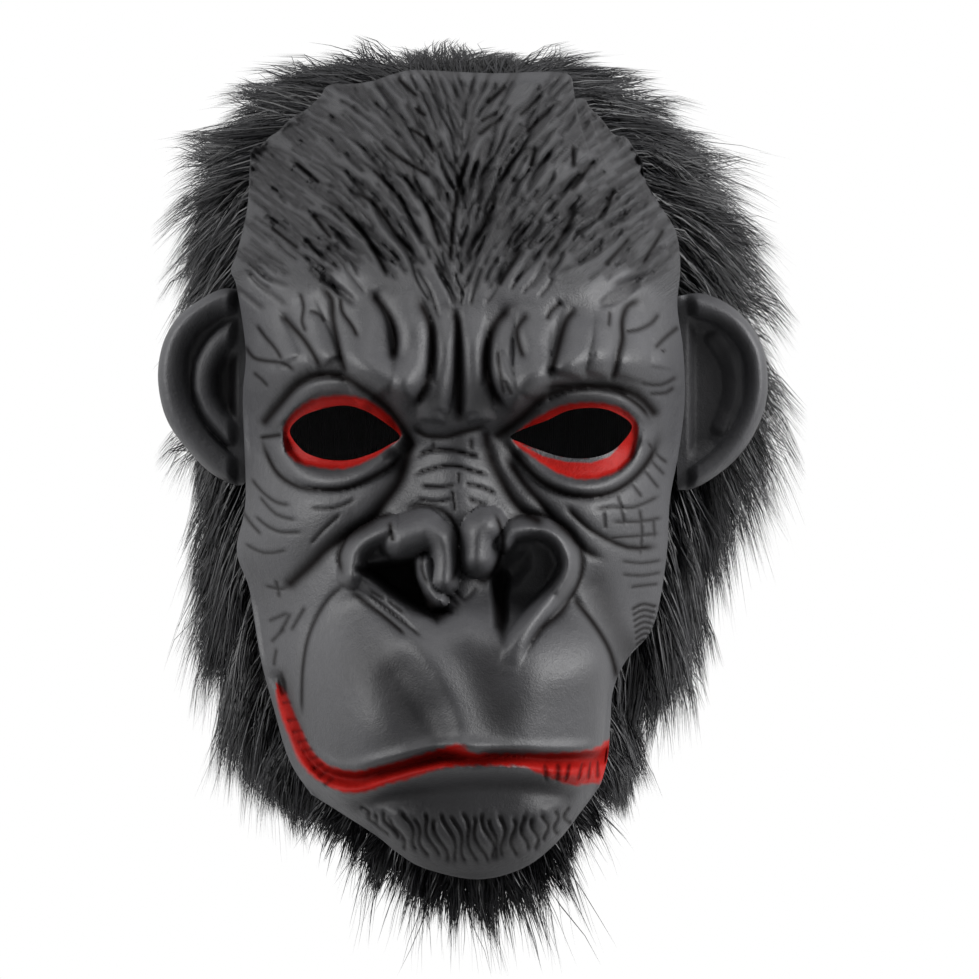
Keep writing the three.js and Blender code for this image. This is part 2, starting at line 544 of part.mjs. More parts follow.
function meshOf(name, solid, colour, roughness) {
  const { vertProperties, triVerts, numProp } = solid.getMesh();
  const geometry = new THREE.BufferGeometry();
  const positions = new Float32Array((vertProperties.length / numProp) * 3);
  for (let k = 0; k < positions.length; k++) {
    positions[k] = vertProperties[Math.floor(k / 3) * numProp + (k % 3)];
  }
  geometry.setAttribute("position", new THREE.BufferAttribute(positions, 3));
  geometry.setIndex(new THREE.BufferAttribute(new Uint32Array(triVerts), 1));
  const mesh = new THREE.Mesh(geometry, new THREE.MeshStandardMaterial({ name, color: colour, roughness }));
  mesh.name = name;
  return mesh;
}

// Fur starts behind the face's rim, and further back behind the ears
const earSpan = (column) => {
  const z = onHood(column, 1).point.z;
  const top = EAR_RIGHT[0][1] + EAR_PART;
  const foot = EAR_RIGHT.at(-1)[1] - 1.75 * EAR_PART;
  return smooth((top - z / UZ) / EAR_PART) * smooth((z / UZ - foot) / EAR_PART);
};
const frontRow = (column) => 1.05 + 1.0 * earSpan(column);
const CROWN_FROM = HOOD_COLUMNS * 0.36;
const CROWN_TO = HOOD_COLUMNS * 0.64;
const SEAM = 0.08;
const HEM = 0.5; // columns that the fur leaves free above the hem of the cloth
const NAPE_ROW = 7.5;
const front = { steps: [20, 5], start: frontRow, end: () => NAPE_ROW - SEAM, back: 0.6 };
const crown = { ...front, columns: [CROWN_FROM + SEAM, CROWN_TO - SEAM] };
const rightSide = { ...front, columns: [HEM, CROWN_FROM - SEAM] };
const leftSide = { ...front, columns: [CROWN_TO + SEAM, HOOD_COLUMNS - HEM] };
const nape = {
  columns: [HEM, HOOD_COLUMNS - HEM], steps: [HOOD_COLUMNS - 4, 3], start: () => NAPE_ROW + SEAM, end: () => ROWS, back: 0,
  fold: true,
};

const group = new THREE.Group();
group.name = "gorilla_mask";
group.add(
  meshOf("face_shell", faceSolid(), 0x5c5c5e, 0.7),
  meshOf("ear_right", earSolid(EAR_RIGHT), 0x56565a, 0.7),
  meshOf("ear_left", earSolid(EAR_LEFT), 0x56565a, 0.7),
  meshOf("hood_cloth", hoodSolid(), 0x1c1c1e, 0.95),
  meshOf("crown_fur", furSolid(crown), 0x121214, 0.9),
  meshOf("side_fur_right", furSolid(rightSide), 0x121214, 0.9),
  meshOf("side_fur_left", furSolid(leftSide), 0x121214, 0.9),
  meshOf("nape_fur", furSolid(nape), 0x121214, 0.9),
  meshOf("chin_fur", beardSolid(), 0x121214, 0.9),
);
export default group;
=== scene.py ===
"""A full-head gorilla mask: moulded latex face and ears, painted lips and eyelids, and a black fur hood."""

import math

import bpy
import numpy as np
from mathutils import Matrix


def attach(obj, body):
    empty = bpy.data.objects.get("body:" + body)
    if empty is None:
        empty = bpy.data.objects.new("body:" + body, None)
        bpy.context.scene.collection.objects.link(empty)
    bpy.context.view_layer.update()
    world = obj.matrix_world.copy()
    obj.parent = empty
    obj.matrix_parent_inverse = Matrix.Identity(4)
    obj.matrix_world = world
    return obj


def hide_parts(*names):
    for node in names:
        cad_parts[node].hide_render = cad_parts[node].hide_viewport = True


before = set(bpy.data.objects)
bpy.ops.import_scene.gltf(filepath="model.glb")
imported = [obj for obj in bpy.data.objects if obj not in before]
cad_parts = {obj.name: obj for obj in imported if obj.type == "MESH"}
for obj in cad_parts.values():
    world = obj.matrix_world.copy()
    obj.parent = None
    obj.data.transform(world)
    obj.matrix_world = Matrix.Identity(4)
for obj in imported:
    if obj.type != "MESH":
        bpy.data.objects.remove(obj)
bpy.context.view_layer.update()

MM = 0.001

# Sizes in millimetres, as in the solids. x, z and forward in the tables are millimetres too.
FACE_HEIGHT = 268.0
FACE_EDGE_Y = -48.0
FACE_WALL = 2.4
FACE_SKIRT = 8.0
SHALLOW = 2.5  # relief up to this stays until close to the cut edge, higher relief sinks earlier
EYE_CUT_SPAN = (-170.0, -20.0)  # from where to where the eye holes are cut, along y
HOOD_WIDTH = 162.0
HOOD_BACK = 98.0
HOOD_OCCIPUT = 92.0
HOOD_WIDEST_Y = 12.0
HOOD_CLOTH = 2.0
HOOD_TUCK = 6.5
HOOD_FOOT = -FACE_HEIGHT * 0.875
HOOD_FRONT_HALF = 70.5  # half the width of the cloth's front edge
HOOD_FRONT_TOP = -4.0  # height of the cloth's front edge at the crown
CHIN_STRAP = 24.0
NAPE_TUCK = 16.0
HOOD_COLUMNS = 34
CHIN_COLUMNS = 8
HOOD_ROWS = 11

# The face's grid: the inner wall has one row or column for every INNER_STEP of the outer face
FACE_COLUMNS = 256
FACE_ROWS = 352
INNER_STEP = 4
FACE_SHARP, EAR_SHARP = 62, 70  # turns in degrees from which an edge is drawn sharp
THINNEST_STROKE = 0.6  # half width under which the grid would show in a stroke
HAIR_STROKES = 760  # how many carved strokes are tried over the forehead
LIP_FADE, LID_FADE, BARE_FADE = 1.6, 1.3, 0.6  # how wide the paint's edges fade
INNER_ROOM = (0.8, 0.5)  # how far the inner wall stays behind the relief, before and after it is evened out
RIM_DEPTH = 1.2  # how far the inner wall's edge sits before the rim's foot

# Cut outline of the face: x, z, forward of the edge plane where it isn't 0
TOP_EDGE = [
    (-71.5, -26), (-70, -24), (-68, -24), (-65, -21), (-62, -19), (-58, -15), (-53, -12), (-48, -7.5),
    (-45, -3.5), (-36, -3), (-30, -2), (-24, 0), (-18, 1.5), (-12, 1.5), (10, 0.5), (35, 0.5), (36.5, -7.5),
    (41, -8), (43, -11), (47, -15), (51, -20), (55, -21), (58, -25), (61, -30),
]
LEFT_EDGE = [
    (-71.5, -26), (-72.5, -45), (-76, -60), (-78, -66), (-76, -72), (-73, -93), (-74, -110), (-73, -143, 1),
    (-76, -160, 2), (-72, -172, 4), (-70.5, -180, 6), (-67.5, -197, 12), (-63, -213, 20), (-57.5, -230, 31),
    (-50, -241, 40),
]
RIGHT_EDGE = [
    (61, -30), (61.5, -35), (66, -43), (72, -53), (73.5, -65), (72.5, -78), (74.5, -93), (75, -110),
    (73, -127), (70, -143, 1), (69, -160, 3), (66.5, -177, 6), (63, -188, 10), (55, -197, 16),
    (50.5, -207, 21), (49.5, -218, 27), (48.5, -229, 33), (46, -238, 40),
]
BOTTOM_EDGE = [
    (-50, -241, 40), (-40, -247, 45), (-28, -254.5, 50), (-21, -260, 52), (-12, -265, 54), (5, -268.5, 55),
    (20, -265, 53), (31, -257, 49), (40, -246, 43), (46, -238, 40),
]
# Middle of the face from the forehead down: z, forward, how square the section is
PROFILE = [
    (2, 18, 2.2), (-15, 29, 2.3), (-30, 39, 2.4), (-50, 50, 2.5), (-70, 59, 2.7), (-90, 67, 3.0),
    (-105, 70, 3.2), (-116, 68, 3.2), (-122, 63, 3.1), (-128, 59, 3.0), (-140, 60, 2.8), (-155, 61, 2.6),
    (-170, 62, 2.5), (-185, 64, 2.5), (-205, 68, 2.6), (-222, 72, 2.6), (-240, 76, 2.6), (-255, 75, 2.6),
    (-268, 66, 2.6),
]
# Where the rows and columns of the face's grid lie, closer together round eyes, nose and mouth: share, place
ROW_PLACES = [(0, 0), (0.04, 0.03), (0.27, 0.27), (0.92, 0.9), (1, 1)]
COLUMN_PLACES = [(0, 0), (0.12, 0.13), (0.88, 0.87), (1, 1)]

# Rounded masses and hollows: x, z, half width, half height, rise
MASSES = [
    (-40, -121, 25, 12, -12), (37, -122, 25, 12, -12),  # eye sockets
    (-57, -150, 17, 17, 5), (55, -148, 17, 17, 5),  # cheeks
    (-66, -185, 7, 14, -4), (56, -178, 8, 10, -6),  # hollows before the jaw
    (-38, -205, 20, 18, 4), (33, -198, 19, 18, 5),  # the two pads of the muzzle
    (0, -160, 38, 18, 3),  # root of the nose
]
MUZZLE = (-1, -208, 53, 36, 24)
MUZZLE_SIDE_SWELL = 6.0  # how far the muzzle's side at the wearer's left bulges out over the cheek

# Tables of strokes: rise in millimetres, half width, then each path of that size as x, z, x, z and so on
FORMS = [
    (9, 8, (-67, -100, -45, -97, -20, -106), (20, -106, 45, -97, 68, -98)),
    (5, 10, (-1, -126, -1, -146)),
    (3.4, 6.5, (-34, -169, -27, -177, -18, -187, -10, -197, -3, -209, 0, -222)),
    (5, 8, (1, -172, 2, -184)),
    (-3.6, 13, (-27, -199, -16, -213)),
    (-2.4, 6, (-20, -200, -12, -211, -7, -220)),
    (-1.6, 10, (8, -197, 12, -212)),
    # Painted shade under the brow over the eye at the wearer's left: a shallow wide groove, darkened
    (-1.6, 3.6, (14, -120.5, 24, -113, 36, -108.5, 50, -108)),
    (-4, 5, (44, -172, 50, -182, 55, -192)),
    (-8, 2.4, (-61, -203, -56.5, -214, -52, -226, -45, -233.3, -34, -235, -28, -232.8, -20, -230.2,
     -12, -227.8, -5, -226.6, 4, -228, 10, -227, 20, -227, 30, -228, 46, -228.5, 51, -225)),
    (3.4, 2.6, (-57, -212, -53, -222, -47, -229, -38, -231.5, -27, -229, -12, -225, 0, -223, 20, -225,
     44, -225, 50, -222)),
    (4.4, 2.8, (-50, -233, -40, -238, -30, -237, -15, -232, 0, -229.5, 18, -230, 32, -233, 44, -234)),
    (-3.5, 4, (-34, -244, -20, -240, 0, -237, 20, -237, 34, -241)),
]
# Fat rounded rolls, meeting in sharp valleys: height, half width, then the path as x, z, x, z
BROW_ROLLS = [
    (2.6, 4.6, -67, -80, -62, -88, -57, -98), (3.4, 5.2, -54, -77, -49, -88, -43.5, -99),
    (5.2, 8.6, -38, -77, -33, -86, -31, -96, -29, -104, -25, -110),
    (5.2, 6.2, -21, -76, -16, -86, -15.8, -96, -18, -104, -21, -110),
    (5.2, 4.2, -6, -80, -5.4, -95, -6.4, -106, -8.6, -116), (4.6, 4.6, -8, -100, -10, -118),
    (4.6, 4.6, 5, -102, 6.5, -118), (5.0, 4.4, 3.6, -80, 3.8, -100, 4, -117),
    (4.6, 4.2, 14, -84, 12.5, -96, 15, -106, 20, -112), (5.2, 6.2, 25, -80, 23, -92, 23, -104, 22, -111),
    (4.8, 6.4, 40, -80, 37, -92, 34, -103), (4.0, 4.6, 48, -80, 46.5, -92, 44, -103),
    (3.6, 6.6, 58, -80, 57.5, -92, 55, -104), (3.0, 5.2, 68, -86, 67, -100),
]
LID_ROLLS = [
    (3.4, 3.3, -62, -121, -60.5, -127, -54, -134, -45, -136.6, -37, -136, -29, -132.5, -22, -126.5),
    (2.8, 2.7, -65, -119.5, -58.5, -113, -52, -108, -46, -105.6, -38, -105.6, -31, -108.6, -24, -114.5),
    (3.0, 2.7, 17, -126, 24, -133, 31, -137.6, 40, -139.6, 48, -138.6, 56, -134, 61, -127, 63, -118),
    (2.2, 2.0, 22, -115.8, 30, -111.6, 37, -109.2, 45, -108.6, 53, -110.2, 59, -114, 63, -118),
]
NOSE_ROLLS = [
    (15, 4.6, -36.5, -168, -35.5, -161, -31, -156, -23, -152.5), (16.5, 7.6, -20, -156, -13, -153.5),
    (16.5, 5.6, -12, -153, -7, -156.5, -5.6, -163, -6.4, -169.5),
    (14.5, 4.0, -11.8, -164, -11, -170, -8.4, -176), (17.5, 6.8, 8.5, -152, 6, -155, 5.4, -162),
    (16, 3.6, 14, -157, 17, -153.5, 25, -152.5, 31.5, -155.5, 35, -162, 34.5, -168, 31.5, -173),
]
# Rims of the nostrils that run out onto the muzzle
NOSTRIL_TAILS = [
    (15, 3.8, 31.5, -173, 26, -179, 21, -185, 17.5, -191, 15.5, -197),
    (8, 3.4, -36, -167, -30, -171, -22, -176.5, -13, -182.5, -8, -186),
]
# Hollows and patches of painted shade with a closed outline: depth, softness of the edge, darkness of the
# painted shade inside, then the outline
HOLLOWS = [
    # Nostrils, darkened inside with painted shade
    (11, 1.8, 0.95, -34, -166, -28, -165, -20, -163.5, -16, -163, -15, -169, -12, -174, -7, -178, -3, -180,
     -8, -183, -15, -179, -23, -173.5, -29, -168.5),
    (3.6, 2.4, 0.0, 15, -160, 18, -157, 25, -155.8, 30.5, -158.8, 32.5, -165, 29.5, -171.5, 23, -178,
     18, -184, 14.5, -190, 11, -184, 11, -170),
    (3, 2.4, 0.3, 13, -166, 16.5, -162, 21.5, -160.5, 22, -165, 18, -170, 14, -172),
    (6, 1.4, 0.9, 10, -168, 13, -165.5, 15.4, -168.5, 14.6, -175, 14.8, -183, 13.4, -188, 11, -185),
    # Painted shade on the chin under the muzzle and on the hollow beside the ridge of the muzzle
    (0, 7, 0.34, -37, -240, -20, -237, 0, -235, 20, -236, 41, -238, 38, -250, 22, -266, 5, -270, -18, -264,
     -36, -250),
    (0, 8, 0.26, -32, -194, -20, -194, -8, -212, -5, -222, -14, -224, -28, -222),
    # Pit at the corner of the mouth, darkened inside with painted shade
    (2.5, 0.8, 0.9, -61.5, -205, -60, -201, -58.4, -204, -58.2, -208, -60.5, -209),
]
# Soft furrows with a sharp line at the bottom, darkened with painted shade
FURROWS = [
    (-2, 1.2, (-46.5, -72.5, -43, -77, -42.5, -84, -41, -91, -39.5, -97, -37.5, -103), (-16, -119, -12, -122,
     -5, -122.5, 0, -121, 8, -119)),
    (-1.4, 0.8, (-40, -76, -39.5, -81, -36, -86, -34, -90), (33, -78, 29.5, -81, 28, -84)),
    (-1.9, 1.1, (-60.5, -81, -56, -86, -52, -90.5, -49, -95, -46, -100.5), (60, -76.5, 55, -79, 53, -84,
     53, -90, 51.5, -96, 50.5, -101, 49, -105)),
    (-1.2, 0.7, (-54, -74.5, -52.5, -79, -53, -84, -51.5, -88), (-69, -84.5, -66, -88.5, -62, -93,
     -59.5, -97), (-73.5, -91, -70, -95.5, -65, -97, -59, -98, -55, -101), (53.5, -87.5, 58, -87, 63, -84.5,
     66, -81), (73, -85, 68, -89, 64, -93)),
    (-1, 0.7, (-50.5, -80.5, -47, -82, -45, -84.5), (12, -94, 12.5, -101, 14, -109), (14, -104, 16.5, -109)),
    (-1, 0.6, (-70, -100.5, -67, -103, -64.5, -105.5), (49, -80.5, 48.5, -86), (59, -104.5, 66, -105,
     72, -102), (62, -108, 68, -107.5, 71, -105.5)),
    (-2.7, 1.6, (-30, -75, -26, -79.5, -23, -85, -22, -91, -22.5, -98), (-4, -80, -1.5, -84, -1, -95,
     -1, -110, -0.5, -118)),
    (-2.5, 1.5, (-14.5, -76.5, -11, -84, -9.5, -92, -10, -100, -12.5, -108, -16.5, -112)),
    (-2.9, 1.7, (17, -79.5, 12, -84, 9.5, -89, 8, -96, 8.5, -103, 11, -109, 14, -113)),
    (-1.7, 1, (22, -82, 18.5, -86.5, 18.5, -91, 20.5, -97)),
    (-2.4, 1.4, (38, -80, 34.5, -84, 32.5, -90, 31, -96, 29, -103)),
    (1.2, 1.2, (44.5, -84, 44, -96)),
    (-1.5, 0.9, (67, -93.3, 67, -94)),
    # Brow's underside and the eyelids, with painted shade under the brow's overhang
    (-2, 1.2, (26, -107, 36, -105.5, 48, -106, 59, -112, 63, -117)),
    (-1.9, 1.1, (-66.5, -117, -61, -112, -55, -106, -49, -103, -42, -102, -36, -104, -30, -108.5, -24, -113,
     -20, -118.5, -17.5, -123)),
    (-3.4, 2.0, (-66, -117, -60, -110.5, -54, -104.5, -48, -102, -40, -102.5, -32, -107, -25, -112.5,
     -19, -120, -16.5, -125)),
    (-3.6, 2.2, (12, -122, 20, -116, 27, -109.5, 36, -106.5, 48, -106, 58, -108.5, 64, -114)),
    (-1.7, 1, (-67.5, -122.5, -65, -129, -61, -135, -54, -139, -46, -139.8, -38, -139.3, -30, -136, -22, -131,
     -18, -125)),
    (-1.4, 0.8, (-68, -122.5, -60, -121.5)),
    (-2.5, 1.5, (13, -123, 19, -130, 26, -137, 34, -141, 42, -142, 50, -140.5, 57, -136, 63, -129, 66, -122)),
    # Folds from the eyes down the cheeks
    (-3.9, 2.3, (-17, -124, -18.5, -131, -21, -138, -26, -145, -30, -150, -38, -155, -45, -160, -50, -165,
     -57, -171)),
    (-3.4, 2, (8, -122, 9, -128, 12, -135, 16, -142, 20, -147, 25, -150)),
    (-2.5, 1.5, (14, -128, 20, -137, 25, -143, 31, -150, 36, -155, 41, -160, 47, -163)),
    (-1.9, 1.1, (34, -145, 40, -151, 45, -154.5, 55, -159, 65, -159)),
    # Rim of the nose and edge of the muzzle
    (-1.9, 1.1, (-39, -168, -40.5, -161, -36, -153.5, -29, -149.5, -22, -147.5)),
    (-1.4, 0.8, (-23.5, -150.5, -22.5, -157), (-18, -146.5, -14, -145, -9, -145.5, -4, -148.5, -1.2, -154,
     -1.2, -160, -1.5, -166, -4, -171), (11, -147.5, 13.3, -154, 13, -161, 9, -169, 4, -170)),
    (-1.7, 1, (14, -150, 20, -148, 28, -148.5, 35, -152.5, 39.5, -160, 39.3, -169, 34.5, -177.5, 26, -185.5,
     21, -193)),
    (-1.5, 0.9, (-36, -174, -26, -181, -18, -187.5)),
    (-1.2, 0.7, (-38, -170.5, -44, -176, -48, -182, -51, -189, -52.5, -197, -53, -205, -53, -215)),
    (-2.6, 1.6, (36, -174, 43, -184, 49, -194, 52, -204)),
]
# Thin carved lines, darkened with painted shade
LINES = [
    (-0.9, 0.5, (-71, -136, -67, -140.5, -62, -144, -57, -145), (-69.5, -148.5, -65, -152, -60, -154,
     -53, -154), (-75, -146, -71, -151, -67, -155), (-40, -148, -46, -153.5, -50, -158), (44, -146.5,
     50, -145.6, 57, -145.8, 66, -142), (50, -150.6, 60, -150.4, 67, -149.2), (48, -156, 57, -155.4,
     66, -154.5), (-64, -191, -59, -186), (-61, -188.5, -57, -181), (-57, -187, -52, -179), (-63, -199,
     -62, -193)),
    (-0.8, 0.5, (-68, -142, -62, -148, -55, -150), (53, -163.6, 60, -164.4, 67, -163.5), (53, -168,
     60, -168.6, 67, -167.6), (56, -172.4, 66, -171.5), (60, -132, 63, -136, 66, -139.5), (56, -137,
     60, -142.5), (51.5, -141, 53, -146, 54, -152), (59, -146, 60, -153, 59.5, -162), (47, -147, 47.5, -153),
     (62, -124, 65, -128, 69, -131), (-65, -184, -58, -181), (-66, -172, -60, -173, -54, -171), (-62, -170,
     -61, -176)),
    (-0.7, 0.5, (-73, -158, -66, -161, -58, -160), (64, -149, 64.5, -156), (63, -130, 68, -135)),
    (-0.8, 0.45, (-35, -143, -42, -146, -50, -146)),
    # Wrinkles across the bridge of the nose
    (-1.5, 0.7, (-15, -129, -10, -127, -3, -127, 3, -128.5, 6, -129)),
    (-1.3, 0.6, (-15.5, -135, -10, -133, -3, -132, 3, -133.5, 9, -135)),
    (-1.1, 0.6, (-13, -138.5, -7, -139, -2, -138.5), (1, -138, 6, -139, 11, -141)),
    (-0.9, 0.5, (-14, -143, -8, -144, -3, -143)),
    (-0.8, 0.5, (-3, -140, -2, -147), (-1, -134, -1, -138), (2, -143, 8, -145), (-9, -124, -9.5, -127),
     (3, -123, 3, -127)),
    # Carving round the nostrils
    (-0.9, 0.5, (-12.5, -160, -13, -166, -11, -171), (-30, -173, -25, -176), (-24, -176.5, -19, -180)),
    (-0.6, 0.6, (-3, -172, 1, -176, 5, -171.5)),
    (-0.5, 0.6, (-5, -174, -1, -178)),
    (-0.9, 0.6, (-31, -174, -25, -178.5, -18, -184, -13, -188)),
]
# Gouges among the carved hair of the forehead, darkened with painted shade
GOUGES = [
    (-1.8, 0.9, (-26, -25, -20, -30, -10, -36), (-42, -44, -37, -50, -31, -57, -24, -70), (24.5, -26,
     23, -33), (51, -39, 48, -46, 45, -50)),
    (-1.7, 0.9, (-18, -19, -12, -23, -9, -28), (2, -28, -2, -45, -4, -66)),
    (-2.0, 1.0, (-36, -41, -30, -44, -26, -49, -22, -55, -16, -62)),
    (-1.6, 0.9, (-16, -12, -12, -15), (15, -4, 8, -10.5), (14, -15, 5, -22)),
    (-1.7, 0.8, (-22, -1, -15, -8), (37, -25, 37, -33)),
    (-1.6, 0.8, (12, -13.5, 6, -17), (27, -7, 19, -15), (30, -12, 21, -21), (68, -52, 60, -65), (-56, -30,
     -47, -38), (-64, -52, -54, -60), (-30, -33, -22, -41), (12, -42, 5, -58)),
    (-1.9, 0.9, (38, -47, 33, -56, 28, -64)),
    (-1.5, 0.8, (44, -30, 36, -41), (20, -60, 12, -73), (56, -56, 47, -66), (-12, -44, -7, -60), (-50, -48,
     -43, -57)),
]
# Wavy grooves down the chin: x at the top, height of the top, length
CHIN_GROOVES = [
    (-33, -244, 6), (-29.5, -246, 8), (-26, -245, 10), (-23, -247, 12), (-19, -245, 14), (-16, -247, 14),
    (-13, -245, 16), (-9.5, -247, 16), (-6, -245, 18), (-3, -246, 17), (0, -245, 18), (3, -246, 17),
    (6.5, -245, 17), (10, -247, 15), (13, -246, 15), (16.5, -247, 14), (20, -246, 13), (23.5, -247, 12),
    (27, -246, 10), (30.5, -245, 9), (34, -244, 7),
]
# Ridges of the carved strip on the jaw at the wearer's left: x at the middle, z, half length
JAW_STRIPES = [(61, -179 - 2 * k, 4.6 - 0.25 * k) for k in range(8)]

EYE_RIGHT = [
    (-57.5, -120.5), (-54, -126), (-50, -128.5), (-44, -130), (-37, -130), (-30, -128), (-24, -125),
    (-20.5, -122), (-28, -116), (-34, -113), (-40, -112), (-48, -113.5), (-54, -116),
]
EYE_LEFT = [
    (16, -122.5), (20, -124.5), (25, -126.5), (33, -129), (41, -129.5), (48, -128), (53, -124.5),
    (56.5, -118.5), (50, -114), (43, -112.8), (35, -113.8), (28, -117), (20, -120),
]
# Outer edges of the red paint round the eyes
RED_RIGHT = [
    (-59.5, -120.5), (-58.5, -127), (-54, -131), (-47, -132.5), (-40, -133), (-34, -131.5), (-28, -128.5),
    (-24, -125.5), (-20, -122), (-22, -117.5), (-27, -112.8), (-33, -109.8), (-40, -108.8), (-49, -110),
    (-55, -113.5), (-58.5, -117.5),
]
RED_LEFT = [
    (17, -122.8), (19, -125.8), (25, -130), (31, -134), (38, -136.2), (45, -136), (52, -133.5), (56.5, -129),
    (58.3, -123), (58, -117.5), (53, -113), (46, -111.3), (40, -111.2), (33, -112.2), (27, -115), (22, -118),
]
# Strip of bare grey between the opening and the red under the eye at the wearer's left
BARE_LEFT = [
    (19, -124.5), (27, -128.9), (35, -130.8), (43, -131), (49, -129), (53, -125), (48, -127.9), (41, -129.4),
    (33, -128.9), (25, -126.4),
]
LIP_UPPER_EDGE = [
    (-62, -204.5), (-59, -207.5), (-56, -214), (-53, -220), (-50, -225.5), (-46, -229.5), (-41, -231.5),
    (-34, -232), (-27, -230.5), (-20, -228.5), (-12, -226), (-6, -224), (-2, -222.5), (1, -223), (4, -225.5),
    (15, -226), (25, -226.2), (35, -226), (44, -225), (50, -222.5), (54.5, -218.5),
]
LIP_LOWER_EDGE = [
    (-62.5, -206), (-60.5, -215), (-57.5, -222), (-54.5, -229), (-50, -234), (-44, -237.5), (-37, -239.5),
    (-30, -238.5), (-24, -236), (-18, -234.5), (-10, -231.5), (-4, -230), (2, -229.5), (10, -229.5),
    (20, -230), (25, -232.5), (31, -235), (36, -237), (42, -237), (47, -236.5), (50, -231), (52, -226),
    (55, -221),
]

# Outline of an ear from its upper root round to its lower root: x, z
EAR_RIGHT = [
    (-74, -74), (-80, -73.5), (-86, -76), (-94, -82), (-99, -90), (-101, -100), (-100, -110), (-97, -118),
    (-91, -126), (-84, -133), (-77, -136.5), (-74, -136.5),
]
EAR_LEFT = [
    (73, -76), (80, -75), (88, -78), (95, -84), (100, -93), (101.3, -104), (100, -113), (96, -122),
    (90.6, -129), (83, -135), (77, -138), (73, -138),
]
# Rolls of the ears' fronts and their hollows, with the same columns as the face's; the hollows are darkened
# inside with painted shade
EAR_RIGHT_ROLLS = [
    (6.0, 5.0, -77, -77, -84, -78.5, -91, -84, -95.5, -91, -97, -100, -96, -109, -93, -116.5, -88, -123.5,
     -82, -129.5, -77, -133),
    (4.2, 3.8, -76, -87, -82, -91.5, -86, -99, -86.5, -107, -83.5, -114, -78, -120),
]
EAR_RIGHT_HOLLOWS = [
    (4.0, 1.8, 0.6, -75, -94, -80, -96, -82.5, -101, -82.5, -108, -80, -113, -75, -116),
    (1.5, 1.2, 0.4, -80, -83, -88, -87, -92, -95, -92, -104, -90, -111, -84, -120, -79, -125, -79, -123,
     -86, -114, -89.5, -106, -89.5, -97, -85.5, -90),
]
EAR_LEFT_ROLLS = [
    (5.6, 4.0, 77, -78.5, 86, -81.5, 92.5, -86.5, 97, -94.5, 98, -104, 96.7, -112.5, 93, -120.5, 88, -127,
     81.5, -132.5, 77, -135),
    (1.6, 2.6, 84, -90, 89, -98, 89.5, -108, 86, -118),
]
EAR_LEFT_HOLLOWS = [
    (3.6, 3.0, 0.3, 75, -84, 84, -86, 89, -93, 91, -103, 89.5, -113, 84, -123, 75, -128),
]
EAR_RIM = 6.0  # how far the rolls of an ear stand forward at the most
EAR_THICKNESS = 7.5
EAR_TURN = 3.2  # width of the rounding along an ear's edge
EAR_GRID = (88, 44)  # steps round an ear and from its root out
GLUE_GAP = 0.4
EAR_ROOT_X = 73.0
EAR_MIDDLE_Z = -105.0
EAR_SPREAD = (1.075, 1.055)  # how much wider and taller than its table an ear is drawn

# Front edge of the hood's cloth inside the face's rim, from jaw over the top to jaw, in the same way
HOOD_FRONT = [
    (-46.5, -237, 38), (-53.5, -227, 30), (-59, -211, 19), (-63.6, -196, 11.5), (-67, -179, 5.5),
    (-69, -160, 2), (-69.6, -143, 0.8), (-69.6, -120), (-69.6, -95), (-70.5, -75), (-70, -58), (-67.5, -42),
    (-63, -29), (-54, -18), (-44, -10.5), (-30, -6.5), (-15, -4.5), (0, -4), (15, -5), (28, -8), (38, -13),
    (47, -21), (55, -30), (60.5, -42), (66.5, -56), (69, -75), (70.5, -95), (71, -110), (69, -127),
    (66.4, -143, 0.8), (65, -160, 2.8), (62.5, -177, 6), (58.5, -188, 10), (51, -197, 16), (46.5, -207, 21),
    (45, -218, 27), (42.5, -234, 38),
]
CHIN_FRONT = [
    (42.5, -234, 38), (36, -243, 42), (28, -252.5, 48), (18, -260.5, 51), (5, -264, 53), (-9, -260.5, 52),
    (-18, -254, 49), (-26, -248.5, 46), (-36.5, -241.5, 42), (-46.5, -237, 38),
]
# Rows of the hood up to its full width: row, run back from the front edge, share of the full width
HOOD_FRONT_ROWS = [
    (0, 0, 0), (1, HOOD_TUCK + 1, 0), (2, HOOD_TUCK + CHIN_STRAP / 2, 0.25), (3, HOOD_TUCK + CHIN_STRAP, 0.5),
]
WIDEST_ROW = 5

# How the fur lies from the jaw over the crown to the other jaw:
# share of the edge, strand length, height over the cloth, share of back, down and outward in its flow
FUR_LIE = [
    (0.0, 40, 20, 0.1, 1.0, 0.55), (0.08, 46, 22, 0.1, 1.0, 0.45), (0.16, 44, 18, 0.2, 1.0, 0.25),
    (0.24, 40, 16, 0.3, 1.0, 0.12), (0.32, 42, 17, 0.5, 0.9, 0.12), (0.4, 42, 18, 0.7, 0.6, 0.4),
    (0.46, 42, 14, 0.7, 0.1, 0.6), (0.54, 42, 14, 0.7, 0.1, 0.6), (0.58, 44, 19, 0.7, 0.5, 0.5),
    (0.62, 46, 25, 0.6, 0.7, 0.4), (0.68, 50, 27, 0.5, 0.9, 0.45), (0.74, 58, 34, 0.3, 1.0, 0.55),
    (0.78, 50, 24, 0.2, 1.0, 0.4), (0.84, 42, 13, 0.2, 1.0, 0.15), (0.9, 42, 17, 0.15, 1.0, 0.3),
    (0.96, 38, 18, 0.1, 1.0, 0.5), (1.0, 36, 18, 0.1, 1.0, 0.55),
]
FUR_LIE_BEHIND = (38, 13, 0.15, 1.0, 0)  # the same without the share, from HOOD_WIDEST_Y back
STRAND_WIDTHS = (0.28, 0.54)
LEADER_SHARE = 0.013  # of the strands, how many lead a lock
# Room that the tips of the fur keep to: x, y, z spans
FUR_ROOM = [(-107, 118), (-150, 121), (-302, 22)]

# Half width and height of the floor, and the lights: name, place, size, power
FLOOR = (700.0, -362.0)
LIGHTS = [
    ("right_side", (1150, -340, 330), 800, 90), ("left_side", (-1150, -340, 300), 800, 63),
    ("top", (0, -420, 1150), 600, 22),
]
LIGHT_AIM = (0, -60, -130)
